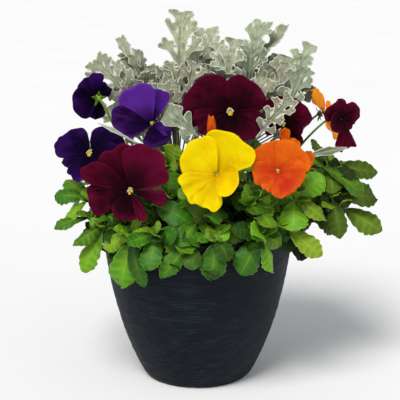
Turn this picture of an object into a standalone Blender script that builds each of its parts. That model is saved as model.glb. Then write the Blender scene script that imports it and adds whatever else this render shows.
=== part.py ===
"""Potted pansy planter: a round tapered resin pot of potting mix, planted with pansies and dusty miller.

Metres, +Z up. The origin is the middle of the pot's flat base, and the planter's front faces -Y.
Each plant is one grown body: its crown, stems, leaves and flower stalks with their calyx. Each flower head
is a body of its own, five petals on a receptacle, and sits on the calyx of its stalk.
"""

import math

import bmesh
import bpy
from mathutils import Matrix, Vector

GAP = 0.0003  # between pieces that touch

# Pot: its outer wall is a curve from the base's edge to the rim, pulled towards the belly point.
POT_HEIGHT = 0.170
RIM_RADIUS = 0.103
BASE_RADIUS = 0.058
BELLY_RADIUS = 0.094
BELLY_HEIGHT = 0.065
WALL = 0.0030
FLOOR = 0.0040
LIP_WIDTH = 0.0055
LIP_DEPTH = 0.0060
RIM_ROUNDING = 0.0012
FOOT_ROUNDING = 0.0025
DRAIN_HOLES = 5
DRAIN_RADIUS = 0.0045
DRAIN_CIRCLE = 0.034
TURN_STEPS = 32
WALL_STEPS = 6

# Potting mix: its flat top lies this far under the rim and slopes down a little at the wall.
MIX_BELOW_RIM = 0.014
MIX_EDGE_DROP = 0.004
MIX_TOP = POT_HEIGHT - MIX_BELOW_RIM

# Plants
CROWN_RADIUS = 0.0050
CROWN_TAPER = 0.8
CROWN_HEIGHT = 0.012
ROOT_SHARE = 0.6  # where shoots and stalks begin, as a share of the crown's height
SHOOT_RADIUS = 0.0017
SHOOT_STEPS = 4
SHOOT_RISE = 0.7  # how far a shoot goes straight up, as a share of its height
SHOOT_LEAN = 0.2  # how far before its top it leans over
STALK_RADIUS = 0.0014
STALK_STEPS = 6
STALK_RISE = 0.45
STALK_NECK = 0.016  # a stalk's straight run behind its flower
STALK_OVERLAP = 0.001
STEM_SIDES_RESOLUTION = 1
LEAF_THICKNESS = 0.0010
PETIOLE_HALF_WIDTH = 0.0016
LEAF_FOLD = 0.22
LEAF_ARCH = 0.16

# A leaf's half width along its length, as (share of the length, share of the half width).
PANSY_OUTLINE = ((0.0, 0.0), (0.16, 0.1), (0.42, 0.84), (0.72, 1.0), (1.0, 0.3))
MILLER_OUTLINE = (
    (0.0, 0.0), (0.26, 0.12), (0.40, 0.66), (0.50, 0.2), (0.62, 1.0), (0.72, 0.26), (0.84, 0.8), (1.0, 0.22),
)

# Flower heads. A petal's outline is its reach at places across it, from -1 to 1.
PETAL_THICKNESS = 0.0009
PETAL_OUTLINE = ((-1.0, 0.46), (-0.78, 0.92), (-0.3, 1.0), (0.3, 1.0), (0.78, 0.92), (1.0, 0.46))
PETAL_START = 0.12
PETAL_TWIST = 0.0006
RECEPTACLE_RADIUS = 0.0042
RECEPTACLE_FRONT = 0.0016
RECEPTACLE_BACK = 0.0040
CALYX_RADIUS = 0.0046
CALYX_DEPTH = 0.0040

GREEN = (0.10, 0.30, 0.04)
SILVER = (0.42, 0.46, 0.33)
YELLOW = (0.95, 0.66, 0.01)
ORANGE = (0.88, 0.16, 0.02)
BURGUNDY = (0.08, 0.004, 0.022)
VIOLET = (0.075, 0.012, 0.20)
INDIGO = (0.018, 0.006, 0.075)

# Each pansy: the place of its crown on the mix, its leafy shoots and its flowers. A shoot is the place of
# its top and the leaves there, each as (tip x, tip y, tip z, width).
PANSIES = {
    "pansy_left": {
        "crown": (-0.064, 0.008),
        "shoots": (
            ((-0.112, -0.030, 0.200), (
                (-0.150, -0.030, 0.204, 0.020), (-0.136, -0.048, 0.180, 0.014),
                (-0.140, 0.000, 0.212, 0.020),
            )),
            ((-0.108, -0.038, 0.182), ((-0.148, -0.055, 0.176, 0.016),)),
            ((-0.094, -0.050, 0.176), (
                (-0.126, -0.070, 0.160, 0.018), (-0.118, -0.072, 0.133, 0.024),
            )),
            ((-0.105, 0.030, 0.205), (
                (-0.148, 0.040, 0.190, 0.026), (-0.128, 0.066, 0.206, 0.024), (-0.146, 0.020, 0.170, 0.024),
            )),
            ((-0.086, -0.014, 0.200), ((-0.090, -0.046, 0.214, 0.022), (-0.086, 0.010, 0.224, 0.022))),
        ),
        "flowers": ("indigo_high", "indigo_low", "violet"),
    },
    "pansy_front_left": {
        "crown": (-0.044, -0.052),
        "shoots": (
            ((-0.066, -0.090, 0.178), (
                (-0.078, -0.086, 0.120, 0.028), (-0.054, -0.098, 0.124, 0.022),
                (-0.094, -0.078, 0.160, 0.018),
            )),
            ((-0.040, -0.098, 0.180), (
                (-0.048, -0.122, 0.150, 0.022), (-0.068, -0.118, 0.176, 0.018),
                (-0.020, -0.118, 0.184, 0.018),
            )),
            ((-0.048, -0.056, 0.196), ((-0.060, -0.078, 0.208, 0.022), (-0.028, -0.062, 0.216, 0.022))),
            ((-0.028, -0.044, 0.236), ((-0.022, -0.062, 0.262, 0.024), (-0.050, -0.056, 0.250, 0.022))),
        ),
        "flowers": ("burgundy_low",),
    },
    "pansy_front": {
        "crown": (0.006, -0.064),
        "shoots": (
            ((-0.008, -0.100, 0.174), (
                (-0.036, -0.112, 0.140, 0.020), (-0.004, -0.120, 0.150, 0.020),
            )),
            ((0.018, -0.102, 0.178), (
                (0.030, -0.122, 0.160, 0.020), (0.014, -0.113, 0.138, 0.026),
            )),
            ((-0.030, -0.072, 0.208), ((0.010, -0.088, 0.188, 0.030), (-0.026, -0.074, 0.240, 0.022))),
        ),
        "flowers": ("yellow",),
    },
    "pansy_front_right": {
        "crown": (0.058, -0.040),
        "shoots": (
            ((0.062, -0.090, 0.178), (
                (0.042, -0.110, 0.142, 0.028), (0.074, -0.088, 0.138, 0.022), (0.056, -0.118, 0.186, 0.024),
                (0.034, -0.108, 0.188, 0.018),
            )),
            ((0.098, -0.066, 0.208), (
                (0.126, -0.072, 0.234, 0.024), (0.094, -0.092, 0.182, 0.028), (0.128, -0.078, 0.188, 0.022),
            )),
            ((0.086, -0.072, 0.182), ((0.124, -0.086, 0.154, 0.022),)),
            ((0.052, -0.070, 0.204), ((0.046, -0.092, 0.226, 0.018), (0.060, -0.094, 0.200, 0.020))),
            ((0.062, -0.044, 0.196), ((0.034, -0.048, 0.206, 0.022), (0.086, -0.040, 0.212, 0.022))),
        ),
        "flowers": ("orange", "orange_behind", "orange_side", "orange_bud"),
    },
    "pansy_right": {
        "crown": (0.072, 0.016),
        "shoots": (
            ((0.138, -0.008, 0.230), (
                (0.190, 0.000, 0.220, 0.022), (0.140, -0.034, 0.206, 0.022), (0.120, -0.002, 0.258, 0.022),
            )),
            ((0.140, -0.018, 0.203), ((0.192, -0.010, 0.196, 0.024), (0.150, -0.036, 0.158, 0.020))),
            ((0.148, -0.006, 0.186), ((0.196, -0.012, 0.160, 0.024),)),
            ((0.116, 0.044, 0.200), (
                (0.162, 0.050, 0.184, 0.026), (0.134, 0.082, 0.196, 0.026), (0.156, 0.074, 0.214, 0.024),
            )),
            ((0.092, 0.006, 0.198), ((0.112, -0.018, 0.204, 0.022), (0.092, 0.036, 0.206, 0.024))),
        ),
        "flowers": ("burgundy_high", "burgundy_side", "burgundy_right"),
    },
    "pansy_back": {
        "crown": (-0.006, 0.066),
        "shoots": (
            ((-0.062, 0.092, 0.192), (
                (-0.100, 0.104, 0.180, 0.026), (-0.074, 0.134, 0.184, 0.026), (-0.086, 0.098, 0.150, 0.026),
            )),
            ((-0.008, 0.110, 0.186), (
                (-0.020, 0.152, 0.176, 0.028), (0.016, 0.148, 0.188, 0.026), (-0.004, 0.128, 0.140, 0.028),
            )),
            ((0.060, 0.094, 0.192), (
                (0.098, 0.112, 0.176, 0.026), (0.064, 0.138, 0.190, 0.026), (0.074, 0.110, 0.146, 0.026),
            )),
            ((-0.010, 0.080, 0.196), ((-0.040, 0.090, 0.206, 0.026), (0.022, 0.094, 0.208, 0.026))),
        ),
        "flowers": (),
    },
}

# Each flower head: the place of its eye, the way it faces in degrees (turned from the front towards +X, then
# tilted up), its colour, and its petals from back to front, as (angle, length, half of its spread, slope).
FLOWERS = {
    "indigo_high": ((-0.105, 0.000, 0.3025), (200, 5), INDIGO, (
        (44, 0.024, 34, 6), (84, 0.027, 24, 0), (142, 0.018, 44, 14),
        (-18, 0.028, 56, 0), (268, 0.025, 30, 10),
    )),
    "violet": ((-0.0472, -0.022, 0.2775), (12, 0), VIOLET, (
        (84, 0.036, 26, -5), (118, 0.046, 32, 4), (-10, 0.021, 38, 11),
        (176, 0.044, 30, 18), (284, 0.024, 58, 14),
    )),
    "indigo_low": ((-0.110, -0.042, 0.252), (-15, 5), INDIGO, (
        (112, 0.036, 46, -30), (42, 0.040, 46, -25), (160, 0.036, 36, 14),
        (-6, 0.032, 42, 9), (250, 0.034, 46, 2),
    )),
    "burgundy_low": ((-0.0664, -0.090, 0.2230), (-5, 0), BURGUNDY, (
        (112, 0.047, 48, 0), (57, 0.050, 50, 6), (197, 0.041, 33, 5),
        (-8, 0.036, 15, 10), (266, 0.029, 58, 18),
    )),
    "burgundy_high": ((0.0335, -0.010, 0.290), (5, 5), BURGUNDY, (
        (136, 0.051, 51, 0), (41, 0.041, 50, 4), (197, 0.040, 29, 8),
        (-32, 0.0395, 43, 11), (256, 0.028, 56, 14),
    )),
    "yellow": ((0.019, -0.098, 0.240), (-4, 8), YELLOW, (
        (68, 0.043, 57, 0), (136, 0.0375, 51, 6), (206, 0.0375, 36, 10),
        (-20, 0.027, 50, 24), (250, 0.0355, 34, 16),
    )),
    "orange": ((0.079, -0.088, 0.241), (2, 5), ORANGE, (
        (120, 0.0315, 50, 0), (46, 0.0335, 54, 4), (192, 0.026, 46, 8),
        (-4, 0.027, 46, 10), (284, 0.0255, 46, 14),
    )),
    "orange_behind": ((0.092, -0.048, 0.250), (15, 10), ORANGE, (
        (102, 0.027, 22, 4), (58, 0.022, 40, 2), (186, 0.024, 40, 8),
        (-22, 0.028, 38, 11), (270, 0.022, 44, 14),
    )),
    "orange_side": ((0.139, 0.046, 0.280), (75, 25), ORANGE, (
        (122, 0.029, 44, 4), (62, 0.029, 44, 6), (186, 0.025, 44, 20),
        (-6, 0.025, 44, 22), (270, 0.028, 50, 8),
    )),
    "burgundy_side": ((0.091, 0.004, 0.2725), (-15, 5), BURGUNDY, (
        (112, 0.033, 38, 0), (40, 0.031, 46, 5), (186, 0.022, 40, 10),
        (-10, 0.022, 40, 14), (296, 0.029, 40, 20),
    )),
    "burgundy_right": ((0.150, 0.000, 0.280), (25, -10), BURGUNDY, (
        (132, 0.027, 52, 12), (34, 0.020, 46, 2), (190, 0.019, 42, 8),
        (-20, 0.017, 40, 6), (282, 0.030, 28, 0),
    )),
}
BUD = ("orange_bud", (0.014, -0.046, 0.266), 0.0045, 0.024, ORANGE)

# Each dusty miller: its crown, and its shoots as above, whose leaves are lobed and stand up.
MILLERS = {
    "dusty_miller_left": {
        "crown": (-0.022, 0.012),
        "shoots": (
            ((-0.020, 0.034, 0.300), ((-0.015, 0.052, 0.388, 0.044),)),
            ((-0.070, 0.026, 0.296), ((-0.112, 0.026, 0.338, 0.034),)),
            ((-0.060, 0.046, 0.305), ((-0.088, 0.064, 0.360, 0.026),)),
            ((-0.034, 0.006, 0.262), ((-0.064, 0.006, 0.300, 0.020),)),
            ((0.000, -0.018, 0.264), ((-0.033, -0.027, 0.291, 0.034),)),
            ((-0.063, -0.046, 0.262), ((-0.102, -0.056, 0.285, 0.006),)),
            ((-0.030, 0.070, 0.270), ((-0.052, 0.118, 0.316, 0.040), (-0.014, 0.100, 0.346, 0.040))),
            ((-0.068, 0.060, 0.250), ((-0.116, 0.090, 0.276, 0.038),)),
        ),
    },
    "dusty_miller_right": {
        "crown": (0.026, 0.040),
        "shoots": (
            ((0.012, 0.058, 0.300), ((-0.002, 0.074, 0.368, 0.020),)),
            ((0.030, 0.036, 0.306), ((0.040, 0.036, 0.360, 0.032),)),
            ((0.050, 0.050, 0.306), ((0.074, 0.066, 0.376, 0.040), (0.100, 0.070, 0.372, 0.018))),
            ((0.086, 0.042, 0.288), ((0.124, 0.056, 0.352, 0.034), (0.100, 0.036, 0.340, 0.040))),
            ((0.062, -0.016, 0.262), ((0.098, -0.024, 0.306, 0.018),)),
            ((0.102, -0.030, 0.242), ((0.158, -0.012, 0.251, 0.012),)),
            ((0.058, 0.074, 0.262), ((0.098, 0.112, 0.300, 0.040), (0.048, 0.120, 0.330, 0.040))),
        ),
    },
}

PARTS_COLLECTION = "potted_pansy_planter"
JOINED_COLLECTION = "joined_and_cut"


def collection(name):
    made = bpy.data.collections.new(name)
    bpy.context.scene.collection.children.link(made)
    return made


def material(name, colour, roughness):
    if name in bpy.data.materials:
        return bpy.data.materials[name]
    made = bpy.data.materials.new(name)
    made.use_nodes = True
    shader = made.node_tree.nodes["Principled BSDF"]
    shader.inputs["Base Color"].default_value = (*colour, 1.0)
    shader.inputs["Roughness"].default_value = roughness
    shader.inputs["Metallic"].default_value = 0.0
    return made


def new_object(name, mesh, group, finish=None):
    """An object of this mesh in a collection, with its one material."""
    made = bpy.data.objects.new(name, mesh)
    group.objects.link(made)
    if finish:
        mesh.materials.clear()
        mesh.materials.append(finish)
    return made


def hide_as_operand(made):
    made.hide_render = True
    made.display_type = "WIRE"


def add_boolean(target, operation, operand, with_itself=False):
    """Joins or cuts target with operand. with_itself also joins the target's own overlapping shapes."""
    step = target.modifiers.new("boolean", "BOOLEAN")
    step.operation = operation
    step.solver = "EXACT"
    step.use_self = with_itself
    step.object = operand
    hide_as_operand(operand)


def solidify(target, thickness):
    step = target.modifiers.new("thickness", "SOLIDIFY")
    step.thickness = thickness
    step.offset = 0.0


def turned(name, profile, group, finish):
    """A profile of (radius, height) points, from the top down its outer side, turned round the Z axis."""
    shape = bmesh.new()
    points = [shape.verts.new((radius, 0.0, height)) for radius, height in profile]
    for one, two in zip(points, points[1:]):
        shape.edges.new((one, two))
    mesh = bpy.data.meshes.new(name)
    shape.to_mesh(mesh)
    shape.free()
    made = new_object(name, mesh, group, finish)
    step = made.modifiers.new("turn", "SCREW")
    step.steps = TURN_STEPS
    step.render_steps = TURN_STEPS
    step.use_merge_vertices = True
    step.merge_threshold = 0.0001
    step.use_smooth_shade = True
    return made


def wall_radius(height):
    """The pot's outer radius at a height, on the quadratic curve from the base's edge to the rim."""
    bend = POT_HEIGHT - 2 * BELLY_HEIGHT
    along = (math.sqrt(BELLY_HEIGHT**2 + bend * height) - BELLY_HEIGHT) / bend
    start = BASE_RADIUS * (1 - along) ** 2
    middle = 2 * BELLY_RADIUS * along * (1 - along)
    return start + middle + RIM_RADIUS * along**2


def heights(low, high, steps):
    return [low + (high - low) * step / steps for step in range(steps + 1)]


def inner_wall():
    """The pot's inner wall from its floor to where the mix ends, as (radius, height) points."""
    return [(wall_radius(z) - WALL, z) for z in heights(FLOOR, MIX_TOP - MIX_EDGE_DROP, WALL_STEPS)]


def pot(group, operands):
    rim = RIM_RADIUS
    under_lip = POT_HEIGHT - LIP_DEPTH
    profile = [(0.0, FLOOR)]
    profile += inner_wall()
    profile += [
        (wall_radius(under_lip) - WALL, under_lip - LIP_WIDTH + WALL),
        (rim - LIP_WIDTH, under_lip),
        (rim - LIP_WIDTH, POT_HEIGHT - RIM_ROUNDING),
        (rim - LIP_WIDTH + RIM_ROUNDING, POT_HEIGHT),
        (rim - RIM_ROUNDING, POT_HEIGHT),
    ]
    outer = heights(FOOT_ROUNDING, POT_HEIGHT - RIM_ROUNDING, WALL_STEPS + 2)
    profile += [(wall_radius(z), z) for z in reversed(outer)]
    profile += [
        (wall_radius(0.0) - 0.2 * FOOT_ROUNDING, 0.3 * FOOT_ROUNDING),
        (wall_radius(0.0) - FOOT_ROUNDING, 0.0),
        (0.0, 0.0),
    ]
    made = turned("planter_pot", profile, group, material("charcoal_resin", (0.020, 0.026, 0.034), 0.55))
    holes = bmesh.new()
    for number in range(DRAIN_HOLES):
        angle = 2 * math.pi * number / DRAIN_HOLES
        place = Vector((math.cos(angle), math.sin(angle), 0.0)) * DRAIN_CIRCLE
        bmesh.ops.create_cone(
            holes, cap_ends=True, segments=12, radius1=DRAIN_RADIUS, radius2=DRAIN_RADIUS, depth=4 * FLOOR,
            matrix=Matrix.Translation(place),
        )
    mesh = bpy.data.meshes.new("drain_holes")
    holes.to_mesh(mesh)
    holes.free()
    add_boolean(made, "DIFFERENCE", new_object("drain_holes", mesh, operands))


def potting_mix(group):
    side = [(radius - GAP, height) for radius, height in inner_wall()]
    side[0] = (side[0][0], FLOOR + GAP)
    shoulder = side[-1][0] - 2 * MIX_EDGE_DROP
    profile = [(0.0, MIX_TOP), (shoulder, MIX_TOP)]
    profile += reversed(side)
    profile += [(0.0, FLOOR + GAP)]
    turned("potting_mix", profile, group, material("potting_mix", (0.018, 0.012, 0.008), 0.95))


def bezier(points, share):
    """The point at this share of a Bezier curve's parameter, for any number of control points."""
    while len(points) > 1:
        points = [one.lerp(two, share) for one, two in zip(points, points[1:])]
    return points[0]


def tube(shape, controls, radius, steps):
    """Adds a closed round stem along a Bezier curve to a bmesh."""
    line = bpy.data.curves.new("stem", "CURVE")
    line.dimensions = "3D"
    line.bevel_depth = radius
    line.bevel_resolution = STEM_SIDES_RESOLUTION
    line.use_fill_caps = True
    spline = line.splines.new("POLY")
    spline.points.add(steps)
    for number, point in enumerate(spline.points):
        point.co = (*bezier(controls, number / steps), 1.0)
    holder = bpy.data.objects.new("stem", line)
    bpy.context.scene.collection.objects.link(holder)
    bpy.context.view_layer.update()
    mesh = bpy.data.meshes.new_from_object(holder.evaluated_get(bpy.context.evaluated_depsgraph_get()))
    bpy.data.objects.remove(holder)
    bpy.data.curves.remove(line)
    piece = bmesh.new()
    piece.from_mesh(mesh)
    bmesh.ops.remove_doubles(piece, verts=piece.verts, dist=0.00005)
    bmesh.ops.recalc_face_normals(piece, faces=piece.faces)
    piece.to_mesh(mesh)
    piece.free()
    shape.from_mesh(mesh)
    bpy.data.meshes.remove(mesh)


def leaf(shape, foot, tip, width, outline):
    """Adds an open leaf surface to a bmesh: an arched midrib from foot to tip, its halves folded up."""
    outwards = Vector((tip.x, tip.y, 0.0)).normalized()
    face = (outwards + Vector((0.0, 0.0, 1.0))).normalized()
    along = tip - foot
    across = along.cross(face).normalized()
    face = across.cross(along).normalized()
    controls = (foot, foot.lerp(tip, 0.5) + face * LEAF_ARCH * along.length, tip)
    rows = []
    for share, spread in outline:
        middle = bezier(controls, share)
        half = max(spread * width / 2, PETIOLE_HALF_WIDTH)
        lift = face * LEAF_FOLD * half
        points = (middle - across * half + lift, middle, middle + across * half + lift)
        rows.append([shape.verts.new(point) for point in points])
    for low, high in zip(rows, rows[1:]):
        for side in range(2):
            shape.faces.new((low[side], low[side + 1], high[side + 1], high[side]))


def facing(turn, tilt):
    """A flower's axes: X to its right as one looks at it, Y up its face and Z out of its face."""
    turn, tilt = math.radians(turn), math.radians(tilt)
    out = Vector((math.sin(turn) * math.cos(tilt), -math.cos(turn) * math.cos(tilt), math.sin(tilt)))
    right = Vector((0.0, 0.0, 1.0)).cross(out).normalized()
    return Matrix((right, out.cross(right), out)).transposed()


def petal(shape, angle, length, spread, slope):
    """Adds an open petal to a bmesh: a blunt fan from its claw, which slopes out of the flower's plane."""
    angle, spread, slope = (math.radians(value) for value in (angle, spread, slope))
    rows = []
    for share in (PETAL_START, 1.0):
        row = []
        for side, reach in PETAL_OUTLINE:
            turn = angle + side * spread
            flat = share * reach * length * math.cos(slope)
            height = share * reach * length * math.sin(slope) + PETAL_TWIST * side
            row.append(shape.verts.new((flat * math.cos(turn), flat * math.sin(turn), height)))
        rows.append(row)
    low, high = rows
    for fan in range(len(PETAL_OUTLINE) - 1):
        shape.faces.new((low[fan], high[fan], high[fan + 1], low[fan + 1]))


def flower_head(name, eye, angles, colour, petal_rows, group, operands):
    """Five petals on a receptacle: two upper ones behind, one at each side, and the lower one in front."""
    petals = bmesh.new()
    for row in petal_rows:
        petal(petals, *row)
    mesh = bpy.data.meshes.new("flower_" + name)
    petals.to_mesh(mesh)
    petals.free()
    colour_name = name.split("_")[0] + "_petals"
    head = new_object("flower_" + name, mesh, group, material(colour_name, colour, 0.6))
    head.location = eye
    head.rotation_euler = facing(*angles).to_euler()
    solidify(head, PETAL_THICKNESS)
    middle = bmesh.new()
    bmesh.ops.create_cone(
        middle, cap_ends=True, segments=10, radius1=RECEPTACLE_RADIUS, radius2=RECEPTACLE_RADIUS,
        depth=RECEPTACLE_BACK + RECEPTACLE_FRONT,
        matrix=Matrix.Translation((0.0, 0.0, (RECEPTACLE_FRONT - RECEPTACLE_BACK) / 2)),
    )
    mesh = bpy.data.meshes.new("receptacle_" + name)
    middle.to_mesh(mesh)
    middle.free()
    receptacle = new_object("receptacle_" + name, mesh, operands)
    receptacle.location = eye
    receptacle.rotation_euler = facing(*angles).to_euler()
    add_boolean(head, "UNION", receptacle, with_itself=True)


def bud(group):
    name, foot, radius, length, colour = BUD
    shape = bmesh.new()
    bmesh.ops.create_uvsphere(shape, u_segments=8, v_segments=7, radius=radius)
    bmesh.ops.scale(shape, vec=(1.0, 1.0, length / (2 * radius)), verts=shape.verts)
    mesh = bpy.data.meshes.new(name)
    shape.to_mesh(mesh)
    shape.free()
    made = new_object(name, mesh, group, material("orange_petals", colour, 0.6))
    made.location = Vector(foot) + Vector((0.0, 0.0, length / 2))


def seat_of_flower(name):
    """Where a flower's calyx meets it, and the way it faces."""
    if name == BUD[0]:
        return Vector(BUD[1]) - Vector((0.0, 0.0, GAP)), Vector((0.0, 0.0, 1.0))
    eye, angles = FLOWERS[name][:2]
    out = facing(*angles) @ Vector((0.0, 0.0, 1.0))
    return Vector(eye) - out * (RECEPTACLE_BACK + GAP), out


def crown(shape, place):
    bmesh.ops.create_cone(
        shape, cap_ends=True, segments=10, radius1=CROWN_RADIUS, radius2=CROWN_TAPER * CROWN_RADIUS,
        depth=CROWN_HEIGHT,
        matrix=Matrix.Translation((*place, MIX_TOP + GAP + CROWN_HEIGHT / 2)),
    )


def flower_stalk(shape, root, name):
    """A stalk from the crown to the back of a flower, where it spreads into the calyx."""
    seat, out = seat_of_flower(name)
    neck = seat - out * CALYX_DEPTH
    rise = Vector((0.0, 0.0, STALK_RISE * (seat.z - root.z)))
    controls = (root, root + rise, neck - out * STALK_NECK, neck + out * STALK_OVERLAP)
    tube(shape, controls, STALK_RADIUS, STALK_STEPS)
    upright = out.to_track_quat("Z", "Y").to_matrix().to_4x4()
    bmesh.ops.create_cone(
        shape, cap_ends=True, segments=8, radius1=STALK_RADIUS, radius2=CALYX_RADIUS, depth=CALYX_DEPTH,
        matrix=Matrix.Translation(seat - out * CALYX_DEPTH / 2) @ upright,
    )


def plant(name, plan, outline, finish, group, operands):
    """One grown body: leaves joined to the crown by their shoots, and its flower stalks."""
    leaves = bmesh.new()
    stems = bmesh.new()
    crown(stems, plan["crown"])
    root = Vector((*plan["crown"], MIX_TOP + ROOT_SHARE * CROWN_HEIGHT))
    for top, tips in plan["shoots"]:
        top = Vector(top)
        rise = Vector((0.0, 0.0, SHOOT_RISE * (top.z - root.z)))
        controls = (root, root + rise, top.lerp(root, SHOOT_LEAN) + rise * SHOOT_LEAN, top)
        tube(stems, controls, SHOOT_RADIUS, SHOOT_STEPS)
        for x, y, z, width in tips:
            leaf(leaves, top, Vector((x, y, z)), width, outline)
    for flower in plan.get("flowers", ()):
        flower_stalk(stems, root, flower)
    mesh = bpy.data.meshes.new(name)
    leaves.to_mesh(mesh)
    leaves.free()
    made = new_object(name, mesh, group, finish)
    solidify(made, LEAF_THICKNESS)
    mesh = bpy.data.meshes.new(name + "_stems")
    stems.to_mesh(mesh)
    stems.free()
    add_boolean(made, "UNION", new_object(name + "_stems", mesh, operands), with_itself=True)


def main():
    for old in list(bpy.data.objects):
        bpy.data.objects.remove(old)
    parts = collection(PARTS_COLLECTION)
    operands = collection(JOINED_COLLECTION)
    pot(parts, operands)
    potting_mix(parts)
    for name, plan in PANSIES.items():
        plant(name, plan, PANSY_OUTLINE, material("pansy_green", GREEN, 0.5), parts, operands)
    for name, plan in MILLERS.items():
        plant(name, plan, MILLER_OUTLINE, material("silver_felt", SILVER, 0.9), parts, operands)
    for name, flower in FLOWERS.items():
        flower_head(name, *flower, parts, operands)
    bud(parts)


main()
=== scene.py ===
"""Potted pansy planter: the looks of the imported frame, with its camera, light and floor. Metres, +Z up."""

import math

import bpy
import numpy as np
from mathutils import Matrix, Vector


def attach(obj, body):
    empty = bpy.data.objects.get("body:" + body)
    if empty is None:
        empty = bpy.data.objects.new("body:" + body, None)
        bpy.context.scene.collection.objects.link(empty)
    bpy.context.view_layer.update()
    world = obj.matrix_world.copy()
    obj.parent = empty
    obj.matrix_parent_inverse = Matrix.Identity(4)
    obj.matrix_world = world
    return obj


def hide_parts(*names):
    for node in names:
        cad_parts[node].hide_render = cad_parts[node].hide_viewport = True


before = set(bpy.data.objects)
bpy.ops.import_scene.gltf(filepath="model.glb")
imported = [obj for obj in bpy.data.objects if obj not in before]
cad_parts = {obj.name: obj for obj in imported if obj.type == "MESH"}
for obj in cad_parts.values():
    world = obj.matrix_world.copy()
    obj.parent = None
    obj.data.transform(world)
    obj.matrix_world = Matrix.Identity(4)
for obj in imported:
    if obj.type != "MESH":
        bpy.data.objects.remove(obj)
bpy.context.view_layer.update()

UP = np.array((0.0, 0.0, 1.0))
FRONT = np.array((0.0, -1.0, 0.0))
MM = 0.001
NO_GRAIN = (0.0, 0.0, 0.0)
PLAIN = (0.5, 0.5, 0.5)


# Colour


def paint(red, green, blue):
    """A display colour of 0 to 255 as the linear colour that nodes take."""
    return tuple(
        (value / 255 / 12.92 if value <= 10.3 else ((value / 255 + 0.055) / 1.055) ** 2.4)
        for value in (red, green, blue)
    )


class Value:
    """An output in a material's node tree. Sums, differences and products of values are nodes too."""

    def __init__(self, recipe, socket):
        self.recipe, self.socket = recipe, socket

    def calc(self, operation, *values):
        return self.recipe.node("ShaderNodeMath", self, *values, operation=operation)

    def __add__(self, other):
        return self.calc("ADD", other)

    def __mul__(self, other):
        return self.calc("MULTIPLY", other)

    def __rsub__(self, other):
        return self * -1.0 + other

    def smooth(self, low, high):
        """0 where the value is at low, 1 where it is at high, with soft ends."""
        values = (self, low, high, 0.0, 1.0)
        return self.recipe.node("ShaderNodeMapRange", *values, interpolation_type="SMOOTHSTEP")

    def ramp(self, *stops):
        """The colour that the value picks from stops of (place, linear colour)."""
        made = self.recipe.node("ShaderNodeValToRGB", self)
        band = made.socket.node.color_ramp
        for _ in stops[2:]:
            band.elements.new(0.5)
        for element, (place, colour) in zip(band.elements, stops):
            element.position, element.color = place, (*colour, 1.0)
        return made


class Recipe:
    """A material's node tree, with short calls for the nodes used here."""

    def __init__(self, name, roughness, specular, **settings):
        self.made = bpy.data.materials.new(name)
        self.made.use_nodes = True
        self.tree = self.made.node_tree
        self.shader = self.tree.nodes["Principled BSDF"]
        self.fill(self.shader, Roughness=roughness, Specular_IOR_Level=specular, **settings)
        self.place = self.node("ShaderNodeTexCoord", output="Object")

    def put(self, socket, value):
        if isinstance(value, Value):
            self.tree.links.new(value.socket, socket)
        else:
            socket.default_value = (*value, 1.0) if socket.type == "RGBA" else value

    def fill(self, node, **values):
        """Sets inputs of a node by name, with _ for a space."""
        for key, value in values.items():
            self.put(node.inputs[key.replace("_", " ")], value)

    def node(self, kind, *values, output=0, **properties):
        """One output of a new node, whose inputs take these values in order, but for any None."""
        made = self.tree.nodes.new(kind)
        for key, value in properties.items():
            setattr(made, key, value)
        for socket, value in zip(made.inputs, values):
            if value is not None:
                self.put(socket, value)
        return Value(self, made.outputs[output])

    def mix(self, base, *coats):
        """The base under coats of (share, colour), in turn. A colour is a Value or is of 0 to 255."""
        for share, colour in coats:
            pair = [paint(*one) if isinstance(one, tuple) else one for one in (base, colour)]
            base = self.node("ShaderNodeMix", share, *[None] * 5, *pair, data_type="RGBA", output=2)
        return base

    def noise(self, scale, detail, roughness, vector=None):
        return self.node("ShaderNodeTexNoise", vector or self.place, 0.0, scale, detail, roughness)

    def split(self, vector):
        """The three parts of a vector, or of the point attribute that has this name."""
        if isinstance(vector, str):
            vector = self.node("ShaderNodeAttribute", attribute_name=vector, output="Vector")
        first = self.node("ShaderNodeSeparateXYZ", vector)
        return [Value(self, socket) for socket in first.socket.node.outputs]

    def join(self, *values):
        return self.node("ShaderNodeCombineXYZ", *values)

    def finish(self, colour, height=None, depth=0.0003, roughness=None):
        """The material, with its colour, its relief and how deep that is, and its roughness if it varies."""
        self.fill(self.shader, Base_Color=colour)
        if roughness is not None:
            self.fill(self.shader, Roughness=roughness)
        if height is not None:
            bump = self.node("ShaderNodeBump")
            self.fill(bump.socket.node, Height=height, Distance=depth)
            self.fill(self.shader, Normal=bump)
        return self.made


# Mesh code


def unit(vector):
    return vector / np.linalg.norm(vector)


def square_to(vector, direction):
    """The part of vector that is square to a unit direction, at unit length."""
    return unit(vector - np.dot(vector, direction) * direction)


def turned(vector, axis, angle):
    """A vector turned round a unit axis by an angle in radians."""
    return (
        vector * math.cos(angle)
        + np.cross(axis, vector) * math.sin(angle)
        + axis * np.dot(axis, vector) * (1 - math.cos(angle))
    )


def rows_unit(vectors):
    return vectors / np.linalg.norm(vectors, axis=-1, keepdims=True)


def around(count):
    """Angles that share out a full turn."""
    return np.arange(count) * 2 * math.pi / count


def outward_at(turn):
    """The level direction at an angle round the upright axis, and the one a quarter turn on."""
    outward = np.array((math.cos(turn), math.sin(turn), 0.0))
    return outward, np.cross(UP, outward)


def bezier(controls, shares):
    """Points on a Bezier curve at these shares of its parameter."""
    shares = np.asarray(shares, float)[..., None]
    layers = [np.asarray(point, float) + 0.0 * shares for point in controls]
    while len(layers) > 1:
        layers = [one + (two - one) * shares for one, two in zip(layers, layers[1:])]
    return layers[0]


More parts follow.
